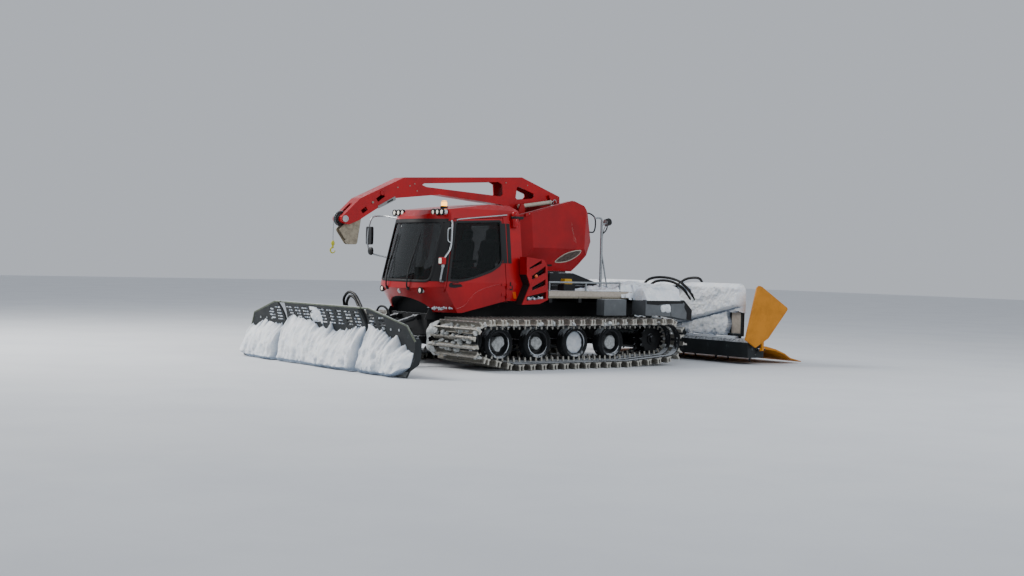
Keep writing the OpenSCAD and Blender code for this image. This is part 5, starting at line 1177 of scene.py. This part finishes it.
for tag, s in SIDES:
    piece(f"vent_floor_{tag}", on_side(s, shell_mesh(np.concatenate([vent_skin[0], vent_skin[0][:1]]),
        np.concatenate([vent_skin[1], vent_skin[1][:1]]))), vent_mesh, "turret")
    piece(f"vent_wires_{tag}", on_side(s, joined(mesh_lines)), vent_mesh, "turret", smooth=False)
    piece(f"vent_rim_{tag}", on_side(s, vent_rim), cream_trim, "turret")
    strip = [(.78, 2.66), (.78, 2.718), (-.33, 2.998), (-.33, 2.94)]
    piece(f"housing_strip_{tag}", plate(strip, .008, s * .497, s * .545), cover_red, "turret", bevel=.004)
    bolts = np.array([(x, s * .545, 2.69 + (.78 - x) * .2523) for x in np.linspace(.7, -.26, 6)])
    piece(f"strip_bolts_{tag}", repeated(BOLT, bolts, (0, s, 0), .011, .009), zinc_fitting, "turret", smooth=False)
    loop = [(-.7, s * .45, 2.775), (-.83, s * .45, 2.78), (-.955, s * .45, 2.712), (-.983, s * .45, 2.58),
        (-.945, s * .45, 2.44), (-.81, s * .45, 2.43)]
    piece(f"rear_handle_{tag}", tube(loop, 40, .014, 10), cab_plastic, "turret")
    slot_form = rounded([(.06, 1.765), (.44, 1.765), (.44, 1.8), (.06, 1.8)], .012)
    slot_out = [stacked(slot_form[:, 0], s * (housing_y(slot_form[:, 1]) + h), slot_form[:, 1])
        for h in (-.006, .004)]
    k = len(slot_form)
    i = np.arange(k)
    j = np.roll(i, -1)
    piece(f"housing_slot_{tag}", (np.concatenate(slot_out),
        [tuple(q) for q in stacked(i, j, j + k, i + k)] + [tuple(i), tuple(i + k)]), seal_rubber, "turret",
        smooth=False)
    scratch = [sweep_mesh(on_housing(np.array(a)[:, 0], np.array(a)[:, 1], .0004) * (1, s, 1), .0016, 5)
        for a in ([(-.3, 2.5), (-.345, 2.36), (-.355, 2.24)], [(-.375, 2.32), (-.4, 2.22)],
        [(-.29, 2.58), (-.3, 2.53)])]
    piece(f"scratches_{tag}", joined(scratch), cream_trim, "turret")
# Cover on the deck under the housing's rear
piece("deck_fairing", plate([(.15, 1.331), (.15, 1.652), (-.42, 1.652), (-1.02, 1.476), (-1.02, 1.331)], .03, -.5,
    .5), black_steel, bevel=.012)
for tag, s in SIDES:
    piece(f"fairing_rib_{tag}", plate([(-.98, 1.38), (.1, 1.38), (.1, 1.42), (-.98, 1.42)], .01, s * .497, s * .512),
        black_steel, bevel=.004)

# Boom: doublers under the knee, rope guide under the tip, pin ends and bolts
GUSSET = [(3.331, 2.843), (3.352, 2.905), (3.697, 2.722), (3.686, 2.679)]
GUIDE = [(3.96, 2.545), (4.036, 2.056), (4.205, 2.051), (4.395, 2.3), (4.29, 2.4), (4.12, 2.46)]
for tag, s in SIDES:
    piece(f"knee_doubler_{tag}", plate(GUSSET, .015, s * .128, s * .162), doubler_grey, "boom", bevel=.004)
    piece(f"doubler_slot_{tag}", plate([(3.39, 2.838), (3.4, 2.862), (3.515, 2.8), (3.505, 2.778)], .008, s * .16,
        s * .1635), seal_rubber, "boom")
    piece(f"rope_guide_{tag}", plate(GUIDE, .04, s * .05, s * .066), guide_beige, "boom", bevel=.004)
    for k, (x, z, r, tone) in enumerate([(4.33, 2.48, .058, bright_trim), (3.607, 2.952, .046, red),
            (.7, 2.6, .055, zinc_fitting), (.692, 2.826, .03, zinc_fitting), (3.8, 2.78, .02, zinc_fitting)]):
        rows = [(.001, .01), (r * .55, .01), (r * .6, .016), (r * .9, .016), (r, .01), (r, -.012), (.001, -.012)]
        piece(f"boom_pin_{tag}_{k}", turned_mesh(rows, (x, s * .152, z), (0, s, 0), 32), tone, "boom")
    edge_bolts = np.array([(x, s * .151, z) for x, z in [(3.3, 3.06), (3.05, 3.1), (.45, 3.25), (.95, 3.27),
        (2.95, 3.14), (2.9, 3.02), (-.1, 3.08)]])
    piece(f"boom_bolts_{tag}", repeated(BOLT, edge_bolts, (0, s, 0), .012, .009), zinc_fitting, "boom", smooth=False)
piece("guide_foot", plate([(4.03, 2.14), (4.04, 2.066), (4.195, 2.062), (4.24, 2.13)], .02, -.06, .06), guide_beige,
    "boom", bevel=.006)
piece("rope_on_sheave", sweep_mesh(stacked(4.33 + .133 * np.cos(np.radians(np.linspace(0, 150, 30))), np.zeros(30),
    2.48 + .133 * np.sin(np.radians(np.linspace(0, 150, 30)))), .006, 8), galvanised, "boom")

# Deck: yellow block on its black case, tread edge, rail feet
DECK_Z = 1.33
piece("deck_case", plate([(-.07, 1.331), (.2, 1.331), (.2, 1.45), (-.07, 1.45)], .01, .8, .98), cab_plastic,
    bevel=.006)
piece("yellow_block", plate([(-.03, 1.449), (.16, 1.449), (.15, 1.545), (-.01, 1.545)], .012, .83, .95), block_yellow,
    bevel=.008)
for tag, s in SIDES:
    piece(f"deck_edge_{tag}", prism([(-2.515, 1.232), (.725, 1.232), (.725, 1.322), (-2.515, 1.322)], s * 1.188,
        s * 1.197), cream_trim, bevel=.003)
    feet = np.array([(x, s * 1.15, 1.331) for x in (.68, -.18, -1.01)])
    piece(f"rail_feet_{tag}", repeated(BOLT, feet, (0, 0, 1), .032, .01), galvanised, smooth=False)
    # Side boxes: black top strip, black rear corner, parting gap with snow, tail lamp
    piece(f"box_top_{tag}", plate([(-1.32, 1.186), (-1.32, 1.115), (-1.62, 1.095), (-1.75, 1.115), (-2.26, 1.125),
        (-2.292, 1.186)], .015, s * 1.553, s * 1.566), cab_plastic, bevel=.003)
    piece(f"box_corner_{tag}", plate([(-2.292, 1.186), (-2.5, .998), (-2.488, .806), (-2.36, .825), (-2.37, .95),
        (-2.3, 1.05), (-2.31, 1.12), (-2.26, 1.17)], .02, s * 1.553, s * 1.567), cab_plastic, bevel=.003)
    piece(f"box_corner_rear_{tag}", plate([(s * 1.21, .82), (s * 1.555, .82), (s * 1.555, .99), (s * 1.21, .99)], .02,
        -2.502, -2.494, "yz"), cab_plastic, bevel=.002)
    piece(f"tail_lamp_{tag}", plate([(s * 1.3, .87), (s * 1.46, .87), (s * 1.46, .95), (s * 1.3, .95)], .015, -2.512,
        -2.5, "yz"), tail_red, bevel=.004)
    piece(f"box_seam_{tag}", prism([(-1.955, .89), (-1.945, .89), (-1.935, 1.12), (-1.945, 1.12)], s * 1.556,
        s * 1.563), seal_rubber, smooth=False)
    x, z = net((-1.97, -1.66, 40), (.9, 1.13, 30))
    base = stacked(x, s * 1.56 + 0 * x, z)
    thick = .03 * (1 - np.abs((x + 1.815) / .13)**5
        - np.abs((z - 1.03) / .075)**5) + .02 * rough_field(base, .07, 70 + s)
    piece(f"box_snow_patch_{tag}", cap_mesh(base, (0, s, 0), np.minimum(thick, .035)), snow)
    # Snow heap on deck and side box: deep at the rear, thinning forward; its base steps down from deck to box
    x, y = net((-2.5, -.15, 190), (.28, 1.6, 90))
    step = unit((y - 1.175) / .06)
    base_z = DECK_Z - .14 * step * step * (3 - 2 * step)
    base = stacked(x, s * y, base_z)
    body = np.interp(x, [-2.5, -2.35, -1.9, -1.4, -1.15, -.9, -.3, -.15], [.02, .1, .15, .14, .09, .035, .018, -.03])
    over_box = np.interp(x, [-2.32, -2.15, -1.5, -1.33, -1.28], [-.2, .02, .06, -.02, -.4])
    body = np.where(y > 1.19, np.minimum(body * .9 + .04, .17) + over_box * (y - 1.19) / .37 - .3
        * unit((y - 1.42) / .18)**2, body)
    body = body - .16 * unit((.52 - y) / .24) * (x > -1.1) - .12 * unit((-2.25 - x) / .2) * (y < .6)
    body = np.where((y > 1.13) & (x > -1.3), body - .1 * unit((y - 1.13) / .06), body)
    thick = body + .05 * rough_field(base, .22, 80 + s) + .018 * rough_field(base, .06, 82 + s)
    piece(f"deck_snow_{tag}", cap_mesh(base, (0, 0, 1), thick, .012), snow)
x, y = net((-2.28, -1.08, 90), (-.3, .3, 46))
base = stacked(x, y, DECK_Z + 0 * x)
thick = .07 * (1 - np.abs((x + 1.68) / .6)**4) + .04 * rough_field(base, .2, 90)
piece("deck_snow_mid", cap_mesh(base, (0, 0, 1), thick, .012), snow)

# Mast: hooked top, lamp on a bent bracket, a cable up to the lamp
piece("mast_hook", tube([(-.88, .75, 2.6), (-.875, .75, 2.655), (-.85, .75, 2.685), (-.79, .75, 2.69),
    (-.7, .75, 2.685)], 24, .018, 10), galvanised)
piece("mast_bracket", tube([(-.895, .75, 2.4), (-.93, .75, 2.415), (-.99, .75, 2.47), (-1.015, .75, 2.53),
    (-1.01, .75, 2.59)], 24, .012, 10), cab_plastic)
lamp_dir = np.array([-math.sin(math.radians(75)), 0, math.cos(math.radians(75))])
lamp_at = np.array([-.97, .75, 2.606])
ring_rows = [(.056, .005), (.068, .005), (.07, .095), (.064, .108), (.054, .108), (.05, .098)]
piece("mast_lamp_ring", ring_mesh(ring_rows, lamp_at, lamp_dir, 32), cab_plastic)
piece("mast_lamp_lens", turned_mesh([(.001, .106), (.03, .105), (.052, .101), (.052, .09), (.001, .09)], lamp_at,
    lamp_dir, 32), lens_white)
piece("mast_cable", tube([(-.906, .75, 1.4), (-.908, .752, 1.9), (-.906, .75, 2.3), (-.93, .75, 2.46),
    (-.98, .75, 2.56)], 40, .006, 6), seal_rubber)

# Screen of the tiller: snow cake on its front in two blocks with a crack between them, thinner snow behind
y, z = net((-2.115, 2.115, 280), (.53, 1.525, 70))
for name, x0, face, depth, seed in (("front", -3.378, 1, 1.0, 7), ("rear", -3.39, -1, .35, 9)):
    base = stacked(x0 + 0 * y, y, z)
    crack = 1.09 - (2.07 - np.abs(y)) * .2346
    upper = unit((z - crack) / .05)
    body = (.085 + .075 * upper) * depth - .035 * np.exp(-((z - crack) / .014)**2)
    gap = np.hypot(np.clip(np.abs(y) - 1.93, 0, 9), np.clip(z - 1.345, 0, 9))
    round_end = np.clip((.175 - gap) / .07, -1, 1)
    body = np.where(round_end < 1, body * np.sqrt(unit(round_end)) - .05 * (round_end < 0), body)
    body = body - .3 * ((np.abs(y) > 1.74 + .03 * np.sin(z * 19)) & (z < .985 + .02 * np.sin(y * 23)))
    thick = body + depth * (.04 * rough_field(base, .22, seed) + .018
        * rough_field(base, .055, seed + 1)) - (.03 if face < 0 else 0)
    piece(f"screen_snow_{name}", cap_mesh(base, (face, 0, 0), thick, .006), snow, "tiller")
for tag, s in SIDES:
    piece(f"screen_flap_{tag}", plate([(s * 1.78, .575), (s * 2.045, .575), (s * 2.045, .975), (s * 1.78, .975)], .01,
        -3.3795, -3.372, "yz"), cream_trim, "tiller")
# Snow on the tiller's hood, in front of the screen and behind it
x, y = net((-3.245, -3.335, 14), (-2.0, 2.0, 160))
base = stacked(x, y, .48 + 0 * x)
thick = .03 + .03 * rough_field(base, .15, 97)
thick = np.where(np.abs(np.abs(y) - .6) < .09, -.02, thick)
piece("hood_snow", cap_mesh(base, (0, 0, 1), thick, .006), snow, "tiller")

# Loose bits of snow under the nose
r = np.random.default_rng(99)
n = 26
chin_y, chin_z = .55 + .42 * r.random(n), .985 + .035 * r.random(n)
clods("chin_snow", stacked(chin_x(chin_y, chin_z) - .004, chin_y, chin_z), .008 + .022 * r.random((n, 3)), "root",
    snow, .3, 98)

# Floor and light
floor_mat = finish("studio_floor", "#dfe2e5", "#d9dce0", 2.0, (.8, .9), grain=(.05, .02))
bpy.ops.mesh.primitive_plane_add(size=160, location=(0, 0, 0))
floor = bpy.context.object
floor.name = "floor"
floor.data.materials.append(floor_mat)

world = bpy.data.worlds.new("soft_sky")
bpy.context.scene.world = world
world.use_nodes = True
world.node_tree.nodes["Background"].inputs[0].default_value = (.86, .91, 1.0, 1.0)
world.node_tree.nodes["Background"].inputs[1].default_value = .6


def soft_light(name, place, aim, size, watts, tint):
    """Square lamp at place that faces aim."""
    data = bpy.data.lights.new(name, "AREA")
    data.size, data.energy, data.color = size, watts, tint
    lamp = bpy.data.objects.new(name, data)
    bpy.context.scene.collection.objects.link(lamp)
    back = np.array(place, float) - np.array(aim, float)
    back /= np.linalg.norm(back)
    side = np.cross((0, 0, 1), back)
    side /= np.linalg.norm(side)
    lamp.matrix_world = Matrix([(side[i], np.cross(back, side)[i], back[i], place[i])
        for i in range(3)] + [(0, 0, 0, 1)])
    return lamp


soft_light("key", (12, -9, 13), (0, 0, 1), 7, 3300, (1.0, .98, .95))
soft_light("fill", (-4, 18, 12), (0, 0, 1), 9, 1500, (.92, .96, 1.0))

bpy.context.view_layer.update()
